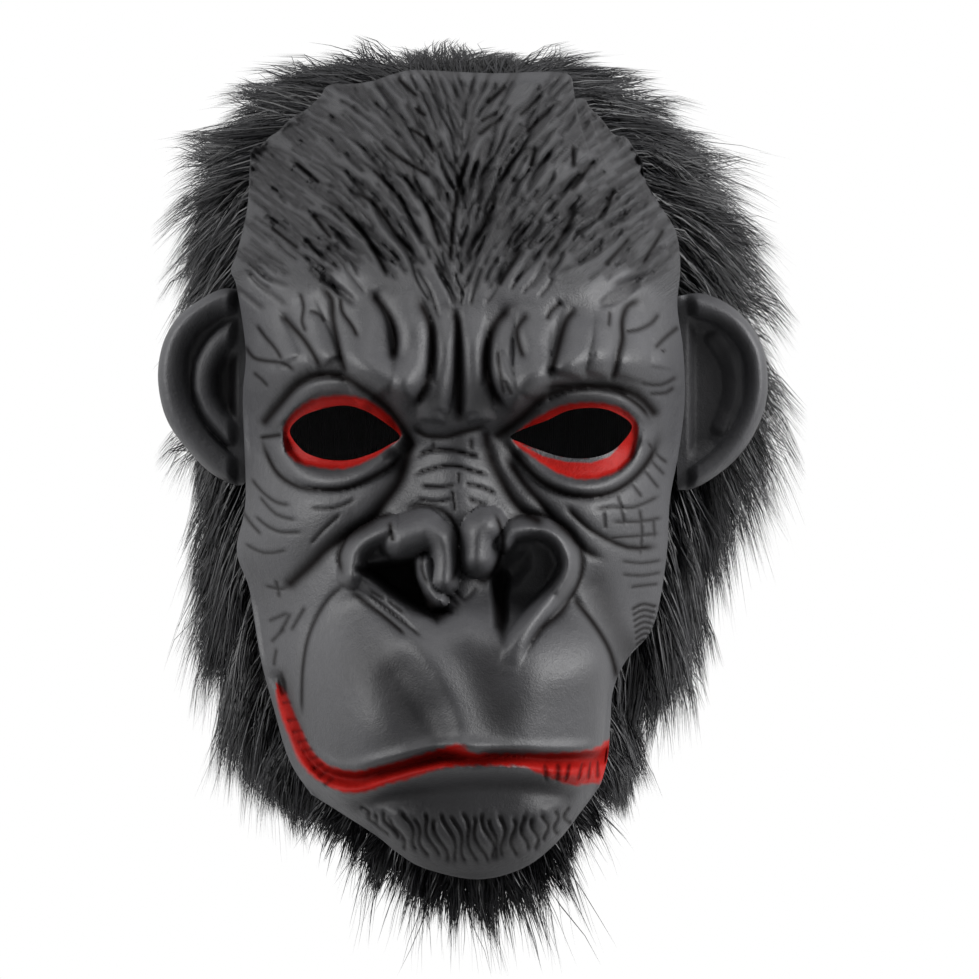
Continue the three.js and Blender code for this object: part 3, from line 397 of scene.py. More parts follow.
# The photograph shows PHOTO_WIDTH across at y = PHOTO_PLANE, with x and z of PHOTO_MIDDLE in its middle
PHOTO_WIDTH = 326.33
PHOTO_PLANE = -85.0
PHOTO_MIDDLE = (9.17, -139.83)
CAMERA_DISTANCE = 2600.0


def smooth(value):
    """Nothing below zero, one above one, and an even S between: 3s squared less 2s cubed."""
    s = np.clip(value, 0, 1)
    return s * s * (3 - 2 * s)


def mix(a, b, share):
    """The value at a share of the way from a to b."""
    return a + (b - a) * share


def unit(vectors):
    """Each vector divided by its length."""
    return vectors / np.maximum(np.linalg.norm(vectors, axis=-1, keepdims=True), 1e-9)


def look_up(table, key):
    """Every column of a table after its first, read at key in a straight line between rows."""
    rows = np.array(table, float)
    rows = rows[np.argsort(rows[:, 0])]
    return [np.interp(key, rows[:, 0], rows[:, k]) for k in range(1, rows.shape[1])]


def placed(table):
    """Points x, y, z of a table of x, z and forward."""
    rows = np.array([(*row, 0)[:3] for row in table], float)
    return np.stack([rows[:, 0], FACE_EDGE_Y - rows[:, 2], rows[:, 1]], axis=1)


def curve_through(points, after_last, before_first, steps=6):
    """A cubic between each two points, bent by the points before and after them."""
    p = np.concatenate([before_first, points, after_last])
    t = (np.arange(steps) / steps)[None, :, None]
    before, here, after, beyond = (p[k : len(p) - 3 + k, None] for k in range(4))
    curve = 0.5 * (2 * here + (after - before) * t + (2 * before - 5 * here + 4 * after - beyond) * t**2
                   + (3 * here - before - 3 * after + beyond) * t**3)
    return curve.reshape(-1, points.shape[1])


def curved(table):
    """The placed points of a table joined by cubics, with both ends kept."""
    return bent(placed(table), 6)


def along(points, share):
    """Points at shares of a polyline's length: each coordinate read against the length run so far."""
    run = np.concatenate([[0], np.cumsum(np.linalg.norm(np.diff(points, axis=0), axis=1))])
    return np.stack([np.interp(np.asarray(share) * run[-1], run, points[:, k]) for k in range(3)], axis=-1)


def path_distance(x, z, path):
    """Distance to a path of x, z points and the share of the path run at the nearest point."""
    path = np.array(path, float)
    steps = np.diff(path, axis=0)
    lengths = np.maximum(np.hypot(*steps.T), 1e-6)
    starts = np.concatenate([[0], np.cumsum(lengths)])
    best, share = np.full(x.shape, np.inf), np.zeros(x.shape)
    for (ax, az), (dx, dz), length, start in zip(path, steps, lengths, starts):
        t = np.clip(((x - ax) * dx + (z - az) * dz) / length**2, 0, 1)
        off = np.hypot(x - ax - t * dx, z - az - t * dz)
        nearer = off < best
        best = np.where(nearer, off, best)
        share = np.where(nearer, (start + t * length) / starts[-1], share)
    return best, share


def bent(path, steps=3):
    """An open path with each two of its points joined by a cubic."""
    p = np.array(path, float)
    return np.concatenate([curve_through(p, p[-1:], p[:1], steps), p[-1:]])


def rounded(outline, steps=6):
    """A closed curve through the points of an outline, each two joined by a cubic."""
    p = np.array(outline, float)
    return curve_through(p, p[:2], p[-1:], steps).tolist()


def inside(x, z, outline, edge):
    """One inside a closed outline, nothing outside, and soft over edge millimetres at the line."""
    ring = np.array([*outline, outline[0]], float)
    crossings = np.zeros(x.shape, int)
    for (ax, az), (bx, bz) in zip(ring, ring[1:]):
        spans = (az > z) != (bz > z)
        at = ax + (z - az) * (bx - ax) / (bz - az if bz != az else 1e-9)
        crossings += spans & (x < at)
    distance, _ = path_distance(x, z, ring)
    return smooth(0.5 + np.where(crossings % 2 == 1, distance, -distance) / (2 * edge))


def pairs(numbers):
    """Points x, z of a row of numbers or of points."""
    return np.reshape(numbers, (-1, 2)).astype(float)


class Relief:
    """Rise of a moulded surface over its plain form, and how dark its carved lines and hollows are painted as
    painted shade, at points x, z.
    """

    def __init__(self, x, z):
        self.x, self.z = x.ravel(), z.ravel()
        self.rise = np.zeros(self.x.shape)
        self.painted_shade = np.zeros(self.x.shape)

    def mass(self, cx, cz, half_width, half_height, rise):
        """Adds a bell: rise times e to the minus squared distance in half widths."""
        across, up = (self.x - cx) / half_width, (self.z - cz) / half_height
        self.rise += rise * np.exp(-(across**2) - up**2)

    def stroke(self, rise, width, path, soft=0.0, shade_strength=1.0):
        """Adds a bell across a path, fading at its ends, with a softer bell three times as wide under it; a
        groove is also darkened with painted shade along its line.
        """
        points, width = pairs(path), max(width, THINNEST_STROKE)
        reach = width * (8 if soft else 3.2)
        (x0, z0), (x1, z1) = points.min(axis=0) - reach, points.max(axis=0) + reach
        near = np.flatnonzero((self.x > x0) & (self.x < x1) & (self.z > z0) & (self.z < z1))
        if not near.size:
            return
        distance, share = path_distance(self.x[near], self.z[near], bent(points))
        fade = smooth(np.minimum(share, 1 - share) / 0.16 + 0.3) if width < 2 else 1
        sharp = np.exp(-((distance / width) ** 2)) * fade
        broad = np.exp(-((distance / (3 * width)) ** 2)) * fade
        self.rise[near] += rise * mix(sharp, broad, soft)
        # A groove's line gets painted shade, darker the deeper the groove
        if rise < 0:
            line = np.exp(-((distance / (0.95 * width + 0.12)) ** 2)) * fade
            self.painted_shade[near] = np.maximum(self.painted_shade[near], line * shade_strength * min(1.0, 0.45 - rise * 0.4))

    def rolls(self, *sets):
        """Adds the highest of the rolls of some sets of rows, head and foot: height times one less squared
        distance in half widths, to the power 0.62, sinking over the head and foot shares of the path."""
        top = np.zeros(self.x.shape)
        for rows, head, foot in sets:
            for height, width, *path in rows:
                distance, share = path_distance(self.x, self.z, bent(pairs(path)))
                ends = smooth(share / head + 0.1) if head else 1
                ends = ends * (smooth((1 - share) / foot + 0.1) if foot else 1)
                top = np.maximum(top, height * ends * np.maximum(0, 1 - (distance / width) ** 2) ** 0.62)
        self.rise += top

    def pool(self, depth, soft, shade_strength, *outline):
        """Sinks a closed outline by a depth and darkens it with painted shade, both in an S across its edge.
        """
        share = inside(self.x, self.z, pairs(outline), soft)
        self.rise -= depth * share
        self.painted_shade = np.maximum(self.painted_shade, shade_strength * share)

    def table(self, rows, soft=0.0, shade_strength=1.0):
        """Adds every stroke of a table."""
        for rise, width, *paths in rows:
            for path in paths:
                self.stroke(rise, width, path, soft, shade_strength)


def hair_lean(x):
    """Lean of the carved hair in radians: 20 degrees at the parting, growing evenly to 52 at 46 mm out."""
    return np.radians(20 + 32 * np.minimum(1, np.abs(x) / 46))


def carved_hair(relief, random):
    """Short carved strokes over the forehead, steep beside the parting and flatter toward the temples."""
    for _ in range(HAIR_STROKES):
        x, z = random.uniform(-72, 72), random.uniform(-76, 0)
        length, bend = random.uniform(8, 19), random.uniform(-0.2, 0.2)
        lean = hair_lean(x) + random.uniform(-0.14, 0.14)
        side = -1 if x > 0 else 1
        if z < -70 + 6 * math.sin(x * 0.2) and abs(x) > 12:
            continue
        half = length / 2
        dx, dz = math.sin(lean) * half * side, -math.cos(lean) * half
        depth, width = random.uniform(0.8, 1.7), random.uniform(0.62, 0.9)
        path = [(x - dx, z - dz), (x + bend * dz, z - bend * dx), (x + dx, z + dz)]
        relief.stroke(-depth, width, path, 0, 0.5)


def combed(x, z):
    """Coordinates across and along the carved hair, the first constant along its lines, which lean as
    hair_lean says, and one more number for how strongly a place is carved."""
    out = np.linspace(0, 90, 181)
    lean = hair_lean(out)
    run = np.concatenate([[0], np.cumsum(np.diff(out) / np.tan((lean[1:] + lean[:-1]) / 2))])
    across = np.interp(np.abs(x), out, run) - z + np.where(x > 0, 300, 0)
    carved = smooth((z + 74 + 4 * np.sin(x * 0.21)) / 9) * smooth((-1.5 - z) / 3)
    return np.stack([across * 0.55, z * 0.05, carved], axis=1)


def muzzle_share(x, z):
    """How far a point is onto the muzzle: one less the cube of an S from its middle to its outline."""
    cx, cz, half_width, half_height, _ = MUZZLE
    ring = (np.abs((x - cx) / half_width) ** 3 + np.abs((z - cz) / half_height) ** 3) ** (1 / 3)
    return 1 - smooth(ring / 1.02) ** 3


def side_swell(x, z):
    """How far the muzzle's side at the wearer's left bulges out: the sine of half a turn across its share,
    growing from the middle of the face to its side."""
    return MUZZLE_SIDE_SWELL * np.sin(np.pi * muzzle_share(x, z)) * smooth((x - 26) / 16)


def face_relief(x, z):
    """The whole relief of the face at x, z: masses, muzzle, forms, furrows, lines and carved hair."""
    relief = Relief(x, z)
    for row in MASSES:
        relief.mass(*row)
    relief.rise += MUZZLE[-1] * muzzle_share(relief.x, relief.z)
    relief.table(FORMS, 0.0, 0.5)
    relief.rolls((BROW_ROLLS, 0.4, 0.1))
    relief.rolls((LID_ROLLS, 0.12, 0.12))
    relief.rolls((NOSE_ROLLS, 0, 0), (NOSTRIL_TAILS, 0, 0.95))
    relief.pool(3.2, 1.0, 0.0, *RED_RIGHT)
    relief.pool(3.2, 1.0, 0.0, *RED_LEFT)
    for hollow in HOLLOWS:
        relief.pool(*hollow)
    relief.table(FURROWS, 0.5)
    relief.table(LINES)
    relief.table(GOUGES, 0.35)
    for x0, z0, length in CHIN_GROOVES:
        drift = 5 if x0 < 10 else 1
        path = [(x0 + drift * k / 6 + math.sin(k * 1.2 + 0.4 * x0), z0 - length * k / 6) for k in range(7)]
        relief.stroke(-2.1, 0.85, path, 0.25, 0.85)
    for x0, z0, half in JAW_STRIPES:
        relief.stroke(-1.1, 0.55, [(x0 - half, z0 - 1.2), (x0, z0 + 0.8), (x0 + half, z0 - 0.6)])
    for k in range(9):
        share = k / 8
        x0, z0 = mix(-58.5, -44, share), -211 - 24 * share**0.7
        relief.stroke(-0.9, 0.5, [(x0 - 1.6, z0 - 2.6 * share), (x0 + 2.2, z0 + 0.4)])
    for x0 in (27, 30, 32.5, 37, 41, 44.5):
        relief.stroke(-0.9, 0.45, [(x0, -229.5), (x0 + 0.6, -235.5)])
    carved_hair(relief, np.random.default_rng(5))
    # Soft unevenness of a hand-modelled surface
    wave = np.sin(relief.x * 0.23 + 1.3 * np.sin(relief.z * 0.11)) * np.sin(relief.z * 0.19 + relief.x * 0.05)
    relief.rise += 0.35 * wave
    return relief


def calmed(points, half):
    """A moving average of 2 half + 1 points, with the ends kept by turning the line about them."""
    ahead, behind = 2 * points[0] - points[half:0:-1], 2 * points[-1] - points[-2 : -half - 2 : -1]
    run = np.cumsum(np.concatenate([ahead, points, behind]), axis=0)
    run = np.concatenate([np.zeros((1, points.shape[1])), run])
    return (run[2 * half + 1 :] - run[: -2 * half - 1]) / (2 * half + 1)


def face_patch(u, v):
    """Patch between the four edges: across and down blends of the calmed edges added, less the blend of the
    four corners, and each edge's own small turns added near it, fading with the ninth power of the way in."""
    tables = (TOP_EDGE, BOTTOM_EDGE, LEFT_EDGE, RIGHT_EDGE)
    edges = [along(curved(table), share) for table, share in zip(tables, (u, u, v, v))]
    calm = [calmed(edge, 24) for edge in edges]
    (top, bottom, left, right), (top_turns, bottom_turns, left_turns, right_turns) = calm, (
        edge - even for edge, even in zip(edges, calm)
    )
    a, d = u[None, :, None], v[:, None, None]
    corners = mix(mix(top[0], top[-1], a), mix(bottom[0], bottom[-1], a), d)
    patch = mix(top[None], bottom[None], d) + mix(left[:, None], right[:, None], a) - corners
    patch += (1 - d) ** 9 * top_turns[None] + d**9 * bottom_turns[None]
    return patch + (1 - a) ** 9 * left_turns[:, None] + a**9 * right_turns[:, None]


def face_surface(columns, rows):
    """Outer face: the patch brought forward by the profile, rounded at its borders, then by the relief."""
    u = np.interp(np.linspace(0, 1, columns + 1), *np.array(COLUMN_PLACES, float).T)
    v = np.interp(np.linspace(0, 1, rows + 1), *np.array(ROW_PLACES, float).T)
    points = face_patch(u, v)
    x, z = points[..., 0], points[..., 2]
    forward, square = look_up(bent(PROFILE, 8), z)
    across = 1 - np.abs(2 * u - 1)[None] ** square
    head = 1 - (1 - np.minimum(1, v / 0.12)) ** 2.5
    foot = 1 - (1 - np.minimum(1, (1 - v) / 0.08)) ** 2.5
    relief = face_relief(x, z)
    calm = smooth(np.minimum(u, 1 - u) / 0.08)[None] * smooth(np.minimum(v, 1 - v) / 0.04)[:, None]
    fine = smooth(np.minimum(u, 1 - u) / 0.015)[None] * smooth(np.minimum(v, 1 - v) / 0.012)[:, None]
    edge_forward = FACE_EDGE_Y - points[..., 1]
    rise = relief.rise.reshape(x.shape)
    shallow = np.clip(rise, -SHALLOW, SHALLOW)
    rise = shallow * fine + (rise - shallow) * calm
    bulge = np.maximum(0, forward - edge_forward) * across * (head * foot)[:, None]
    points[..., 1] -= bulge + rise + FACE_SKIRT
    points[..., 0] = x + side_swell(x, z) * calm
    return points


def grid_normals(points):
    """Unit normals of a grid that runs right and down, facing the viewer: down crossed with right."""
    down, right = np.gradient(points, axis=0), np.gradient(points, axis=1)
    return unit(np.cross(down, right))


def even_out(field, times):
    """Averages a grid with its neighbours a number of times."""
    for _ in range(times):
        padded = np.pad(field, ((1, 1), (1, 1), (0, 0)), mode="edge")
        beside = padded[:-2, 1:-1] + padded[2:, 1:-1] + padded[1:-1, :-2] + padded[1:-1, 2:]
        field = (field * 2 + beside) / 6
    return field


def numbered(rows, columns, first):
    """Indices of a grid of points in its rows, from the first on."""
    return first + np.arange((rows + 1) * (columns + 1)).reshape(rows + 1, columns + 1)


def grid_faces(rows, columns, first=0, flip=False):
    """Four-sided faces of a grid of points that runs right and down, as an array."""
    index = numbered(rows, columns, first)
    quads = np.stack([index[:-1, :-1], index[1:, :-1], index[1:, 1:], index[:-1, 1:]], axis=-1).reshape(-1, 4)
    return quads[:, ::-1] if flip else quads


def border(rows, columns, first=0):
    """Indices round a grid: along the top, down the right, back along the bottom and up the left."""
    index = numbered(rows, columns, first)
    return np.concatenate([index[0, :-1], index[:-1, -1], index[-1, :0:-1], index[:0:-1, 0]])


def strip(loop, next_loop, flip=False):
    """Four-sided faces between two closed loops of indices."""
    quads = np.stack([loop, np.roll(loop, -1), np.roll(next_loop, -1), next_loop], axis=-1)
    return quads[:, ::-1] if flip else quads


def put(name, data):
    """An object of a mesh, lamp or camera, in the scene."""
    thing = bpy.data.objects.new(name, data)
    bpy.context.scene.collection.objects.link(thing)
    return thing


def rounded_off(mesh):
    """Has every face of a mesh drawn smooth."""
    mesh.polygons.foreach_set("use_smooth", np.ones(len(mesh.polygons), bool))


def make_piece(name, points, faces, material):
    """A mesh object at the origin from points in millimetres and lists of faces."""
    mesh = bpy.data.meshes.new(name)
    listed = [face for part in faces for face in (part.tolist() if isinstance(part, np.ndarray) else part)]
    mesh.from_pydata((np.asarray(points) * MM).tolist(), [], listed)
    mesh.validate()
    mesh.update()
    rounded_off(mesh)
    mesh.materials.append(material)
    return put(name, mesh)


def coordinates(mesh):
    """The vertices of a mesh in millimetres."""
    flat = np.empty(len(mesh.vertices) * 3)
    mesh.vertices.foreach_get("co", flat)
    return flat.reshape(-1, 3) / MM


def set_attribute(mesh, name, values):
    """Writes one number for each vertex."""
    mesh.attributes.new(name, "FLOAT", "POINT").data.foreach_set("value", np.asarray(values, np.float32))


def applied(piece):
    """Turns a piece's modifiers into its mesh."""
    graph = bpy.context.evaluated_depsgraph_get()
    mesh = bpy.data.meshes.new_from_object(piece.evaluated_get(graph))
    old = piece.data
    piece.modifiers.clear()
    piece.data = mesh
    bpy.data.meshes.remove(old)
    mesh.name = piece.name


def eye_cutter(name, outline):
    """A prism through the face with an eye's outline."""
    ring = placed(rounded(outline))
    count = len(ring)
    near, far = ring.copy(), ring.copy()
    near[:, 1], far[:, 1] = EYE_CUT_SPAN
    loop = np.arange(count)
    faces = [strip(loop, loop + count, True), [loop.tolist()], [(loop + count)[::-1].tolist()]]
    return make_piece(name, np.concatenate([near, far]), faces, None)


def make_face(material):
    """The moulded face: outer surface, turned-back rim and plainer inner surface, with both eyes cut out."""
    outer = face_surface(FACE_COLUMNS, FACE_ROWS)
    coarse = outer[::INNER_STEP, ::INNER_STEP]
    rows, columns = FACE_ROWS // INNER_STEP, FACE_COLUMNS // INNER_STEP
    # The inner wall keeps behind the deepest point round each of its own points
    padded = np.pad(outer[..., 1], INNER_STEP, mode="edge")
    windows = np.lib.stride_tricks.sliding_window_view(padded, (2 * INNER_STEP + 1,) * 2)
    deepest = windows.max(axis=(2, 3))[::INNER_STEP, ::INNER_STEP]
    normals = unit(even_out(grid_normals(even_out(coarse, 2)), 3))
    inner = coarse - normals * FACE_WALL
    flat = smooth((-normals[..., 1] - 0.35) / 0.3)
    inner[..., 1] = np.maximum(inner[..., 1], mix(inner[..., 1], deepest + INNER_ROOM[0], flat))
    inner = mix(inner, even_out(inner, 2), 0.5)
    inner[..., 1] = np.maximum(inner[..., 1], mix(inner[..., 1], deepest + INNER_ROOM[1], flat))

    outer_loop = border(FACE_ROWS, FACE_COLUMNS)
    rim = outer.reshape(-1, 3)[outer_loop] + [0, FACE_SKIRT, 0]
    across = np.roll(rim, -6, axis=0) - np.roll(rim, 6, axis=0)
    sideways = unit(np.stack([-across[:, 2], np.zeros(len(rim)), across[:, 0]], axis=1))
    inner_rim = (rim - sideways * FACE_WALL)[::INNER_STEP]
    first_rim = (FACE_ROWS + 1) * (FACE_COLUMNS + 1)
    first_inner = first_rim + len(rim)
    first_inner_rim = first_inner + (rows + 1) * (columns + 1)
    inner_loop = border(rows, columns, first_inner)
    inner_flat = inner.reshape(-1, 3)
    inner_flat[inner_loop - first_inner] = inner_rim - [0, FACE_SKIRT - RIM_DEPTH, 0]
    rim_loop = first_rim + np.arange(len(rim))
    inner_rim_loop = first_inner_rim + np.arange(len(inner_rim))
    # Each face between the rims has INNER_STEP + 1 points of the outer rim and two of the inner
    steps = np.arange(len(inner_rim))[:, None] * INNER_STEP + np.arange(INNER_STEP + 1)
    after = np.roll(inner_rim_loop, -1)
    faces = [
        grid_faces(FACE_ROWS, FACE_COLUMNS), strip(outer_loop, rim_loop),
        grid_faces(rows, columns, first_inner, True), strip(inner_loop, inner_rim_loop, True),
        np.hstack([rim_loop[steps % len(rim)], after[:, None], inner_rim_loop[:, None]]),
    ]
    points = np.concatenate([outer.reshape(-1, 3), rim, inner_flat, inner_rim])
    face = make_piece("face", points, faces, material)
    cutters = [eye_cutter("cut_right", EYE_RIGHT), eye_cutter("cut_left", EYE_LEFT)]
    for cutter in cutters:
        cut = face.modifiers.new(cutter.name, "BOOLEAN")
        cut.object, cut.operation, cut.solver = cutter, "DIFFERENCE", "MANIFOLD"
    applied(face)
    for cutter in cutters:
        mesh = cutter.data
        bpy.data.objects.remove(cutter)
        bpy.data.meshes.remove(mesh)
    mesh = face.data
    mesh.materials.clear()
    mesh.materials.append(material)
    rounded_off(mesh)
    mesh.set_sharp_from_angle(angle=math.radians(FACE_SHARP))

    place = coordinates(mesh)
    x, z = place[:, 0], place[:, 2]
    relief = face_relief(x - side_swell(x, z), z)
    wobble = 0.35 * np.sin(x * 1.7 + 2 * np.sin(z * 0.9)) + 0.25 * np.sin(z * 2.3 + x)
    # The paint fades widely here and the material sharpens it, so its edge doesn't step from point to point
    lips = inside(x, z + 0.6 * wobble, rounded(LIP_UPPER_EDGE + LIP_LOWER_EDGE[::-1], 3), LIP_FADE)
    right, left = (inside(x, z + 0.4 * wobble, rounded(ring, 3), LID_FADE) for ring in (RED_RIGHT, RED_LEFT))
    left *= 1 - inside(x, z, BARE_LEFT, BARE_FADE)
    front = place[:, 1] < np.interp(z, [-250, -200, -100], [-84, -76, -60])
    set_attribute(mesh, "paint", np.maximum(lips, np.maximum(right, left)) * front)
    # Painted shade: how dark the carved lines, creases and hollows are painted
    set_attribute(mesh, "painted_shade", relief.painted_shade)
    combing = mesh.attributes.new("combing", "FLOAT_VECTOR", "POINT")
    combing.data.foreach_set("vector", combed(x, z).astype(np.float32).ravel())
    return face


def ear_drawn(x, z, side, wider, taller):
    """x and z moved away from an ear's root and middle height by a factor each."""
    root = side * EAR_ROOT_X
    return root + (x - root) * wider, EAR_MIDDLE_Z + (z - EAR_MIDDLE_Z) * taller


def make_ear(name, outline, rolls, hollows, material):
    """An ear: a leaf blended from its root to its outline, rolled at the rim, with carved folds in front."""
    side = 1 if outline[0][0] > 0 else -1
    ring = curved(outline)
    wider, taller = EAR_SPREAD
    ring[:, 0], ring[:, 2] = ear_drawn(ring[:, 0], ring[:, 2], side, wider, taller)
    around, out = EAR_GRID
    u, v = np.linspace(0, 1, around + 1), np.linspace(0, 1, out + 1)
    edge = along(ring, u)
    root_z = mix(ring[0, 2], ring[-1, 2], 0.5 + (u - 0.5) * 0.94)
    root = np.full((around + 1, 3), [side * (EAR_ROOT_X - 0.4), FACE_EDGE_Y, 0])
    root[:, 2] = root_z
    grid = mix(root[None], edge[None], v[:, None, None])
    x, z = grid[..., 0], grid[..., 2]
    rim_distance, _ = path_distance(x, z, ring[:, [0, 2]])
    beyond = smooth((np.abs(x) - EAR_ROOT_X - 2.5) / 4)
    relief = Relief(*ear_drawn(x, z, side, 1 / wider, 1 / taller))
    relief.rolls((rolls, 0, 0))
    for hollow in hollows:
        relief.pool(*hollow)
    turn = np.sqrt(1 - (1 - rim_distance / EAR_TURN).clip(0, 1) ** 2)
    rise = relief.rise.reshape(x.shape) * beyond
    front, back = grid.copy(), grid.copy()
    behind = FACE_EDGE_Y + GLUE_GAP
    middle = behind + EAR_THICKNESS / 2
    front[..., 1] = middle - (EAR_THICKNESS / 2 + np.minimum(rise, EAR_RIM)) * turn
    back[..., 1] = middle + np.maximum(EAR_THICKNESS / 2 - np.minimum(0, rise) * 0.3, 1.5) * turn
    near_root = smooth((EAR_ROOT_X + 3.5 - np.abs(x)) / 3)
    front[..., 1] = mix(front[..., 1], behind, near_root)
    back[..., 1] = mix(back[..., 1], behind + EAR_THICKNESS, near_root)
    count = (around + 1) * (out + 1)
    loop, back_loop = border(out, around), border(out, around, count)
    flip = side > 0
    faces = [
        grid_faces(out, around, 0, not flip), grid_faces(out, around, count, flip),
        strip(loop, back_loop, not flip),
    ]
    ear = make_piece(name, np.concatenate([front.reshape(-1, 3), back.reshape(-1, 3)]), faces, material)
    mesh = ear.data
    # Painted shade in the hollows of the ear's front; none on its back
    set_attribute(mesh, "painted_shade", np.concatenate([relief.painted_shade, np.zeros(count)]))
    set_attribute(mesh, "paint", np.zeros(2 * count))
    mesh.set_sharp_from_angle(angle=math.radians(EAR_SHARP))
    return ear


def hood_point(column, row):
    """A point of the hood: its front edge carried back, widened to the full head and closed behind it."""
    front_edge = curved(HOOD_FRONT)
    share = column / HOOD_COLUMNS
    front, mirror = along(front_edge, share), along(front_edge, 1 - share)
    edge_y = front[..., 1] - HOOD_TUCK
    last = HOOD_FRONT_ROWS[-1]
    run, grown = look_up(HOOD_FRONT_ROWS, np.minimum(row, last[0]))
    side = np.clip((row - last[0]) / (WIDEST_ROW - last[0]), 0, 1)
    y = mix(edge_y + run, HOOD_WIDEST_Y, side)
    grown = mix(grown, 1, side)
    turn = np.clip((row - WIDEST_ROW) / (HOOD_ROWS - WIDEST_ROW), 0, 1) * math.pi / 2
    y = np.where(row > WIDEST_ROW, mix(HOOD_WIDEST_Y, HOOD_BACK, np.sin(turn)), y)
    around = np.cos(turn)
    widen = mix(1, HOOD_WIDTH / (2 * HOOD_FRONT_HALF), grown) * around
    top = mix(-HOOD_OCCIPUT, mix(HOOD_FRONT_TOP, HOOD_CLOTH, grown), around)
    level = mix((front[..., 2] + mirror[..., 2]) / 2, front[..., 2], around)
    height = np.clip((level - HOOD_FOOT) / (HOOD_FRONT_TOP - HOOD_FOOT), 0, 1)
    z = mix(np.minimum(level, HOOD_FOOT), top, height)
    nape = smooth((-FACE_HEIGHT * 0.55 - z) / (FACE_HEIGHT * 0.35)) * smooth((y - HOOD_WIDEST_Y) / 50)
    return np.stack([front[..., 0] * widen, y - NAPE_TUCK * nape, z], axis=-1)


def strap_point(column, row):
    """A point of the strap under the jaw: the chin's edge carried straight back."""
    front = along(curved(CHIN_FRONT), column / CHIN_COLUMNS)
    (run,) = look_up([r[:2] for r in HOOD_FRONT_ROWS], row)
    ends = [hood_point(np.full(row.shape, float(c)), row)[..., 2] for c in (HOOD_COLUMNS, 0)]
    sag = mix(ends[0], ends[1], column / CHIN_COLUMNS) - CHIN_FRONT[0][1]
    return np.stack([front[..., 0], front[..., 1] - HOOD_TUCK + run, front[..., 2] + sag], axis=-1)


class Cloth:
    """A dense grid of cloth points, normals and ways back, read between its points."""

    def __init__(self, point, columns, rows, steps):
        self.columns, self.rows, self.steps = columns, rows, steps
        column, row = (np.linspace(0, count, count * steps + 1) for count in (columns, rows))
        self.points = point(*np.meshgrid(column, row))
        back, across = np.gradient(self.points, axis=0), np.gradient(self.points, axis=1)
        normals = unit(np.cross(across, back))
        middle = self.points.mean(axis=(0, 1))
        if np.sum(normals * (self.points - middle)) < 0:
            normals = -normals
        self.normals, self.back = unit(even_out(normals, 2)), unit(even_out(back, 1))
        self.area = np.linalg.norm(np.cross(across, back), axis=-1)

    def at(self, column, row):
        """Point, normal and way back at places: straight blends of the four grid points round each."""
        c = np.clip(column * self.steps, 0, self.columns * self.steps - 1e-6)
        r = np.clip(row * self.steps, 0, self.rows * self.steps - 1e-6)
        i, j = c.astype(int), r.astype(int)
        a, b = (c - i)[:, None], (r - j)[:, None]
        upper, lower = (
            [field[k, i] * (1 - a) + field[k, i + 1] * a for field in (self.points, self.normals, self.back)]
            for k in (j, j + 1)
        )
        point, normal, back = (over * (1 - b) + under * b for over, under in zip(upper, lower))
        return point, unit(normal), unit(back)

    def scatter(self, random, count, columns, rows):
        """Random places, as many in each cell as its area asks."""
        j0, j1 = int(rows[0] * self.steps), int(math.ceil(rows[1] * self.steps))
        i0, i1 = int(columns[0] * self.steps), int(math.ceil(columns[1] * self.steps))
        weights = self.area[j0:j1, i0:i1]
        pick = random.choice(weights.size, count, p=(weights / weights.sum()).ravel())
        j, i = np.divmod(pick, weights.shape[1])
        column = np.clip((i0 + i + random.random(count)) / self.steps, *columns)
        row = np.clip((j0 + j + random.random(count)) / self.steps, *rows)
        return column, row


def make_hood(hood, strap, material):
    """The knitted cloth of the hood with its strap under the jaw, one sheet thickened inward."""
    step = 2
    arch = hood.points[::step, ::step]
    under = strap.points[::step, ::step]
    faces = [
        grid_faces(arch.shape[0] - 1, arch.shape[1] - 1),
        grid_faces(under.shape[0] - 1, under.shape[1] - 1, arch.shape[0] * arch.shape[1]),
    ]
    piece = make_piece("hood", np.concatenate([arch.reshape(-1, 3), under.reshape(-1, 3)]), faces, material)
    weld = piece.modifiers.new("seams", "WELD")
    weld.merge_threshold = 0.05 * MM
    applied(piece)
    mesh = piece.data
    turned = np.empty(len(mesh.vertices) * 3)
    mesh.vertices.foreach_get("normal", turned)
    place = coordinates(mesh)
    if np.sum(turned.reshape(-1, 3)[:, 2] * (place[:, 2] > -20)) < 0:
        mesh.flip_normals()
    wall = piece.modifiers.new("wall", "SOLIDIFY")
    wall.thickness, wall.offset = HOOD_CLOTH * MM, -1
    applied(piece)
    return piece


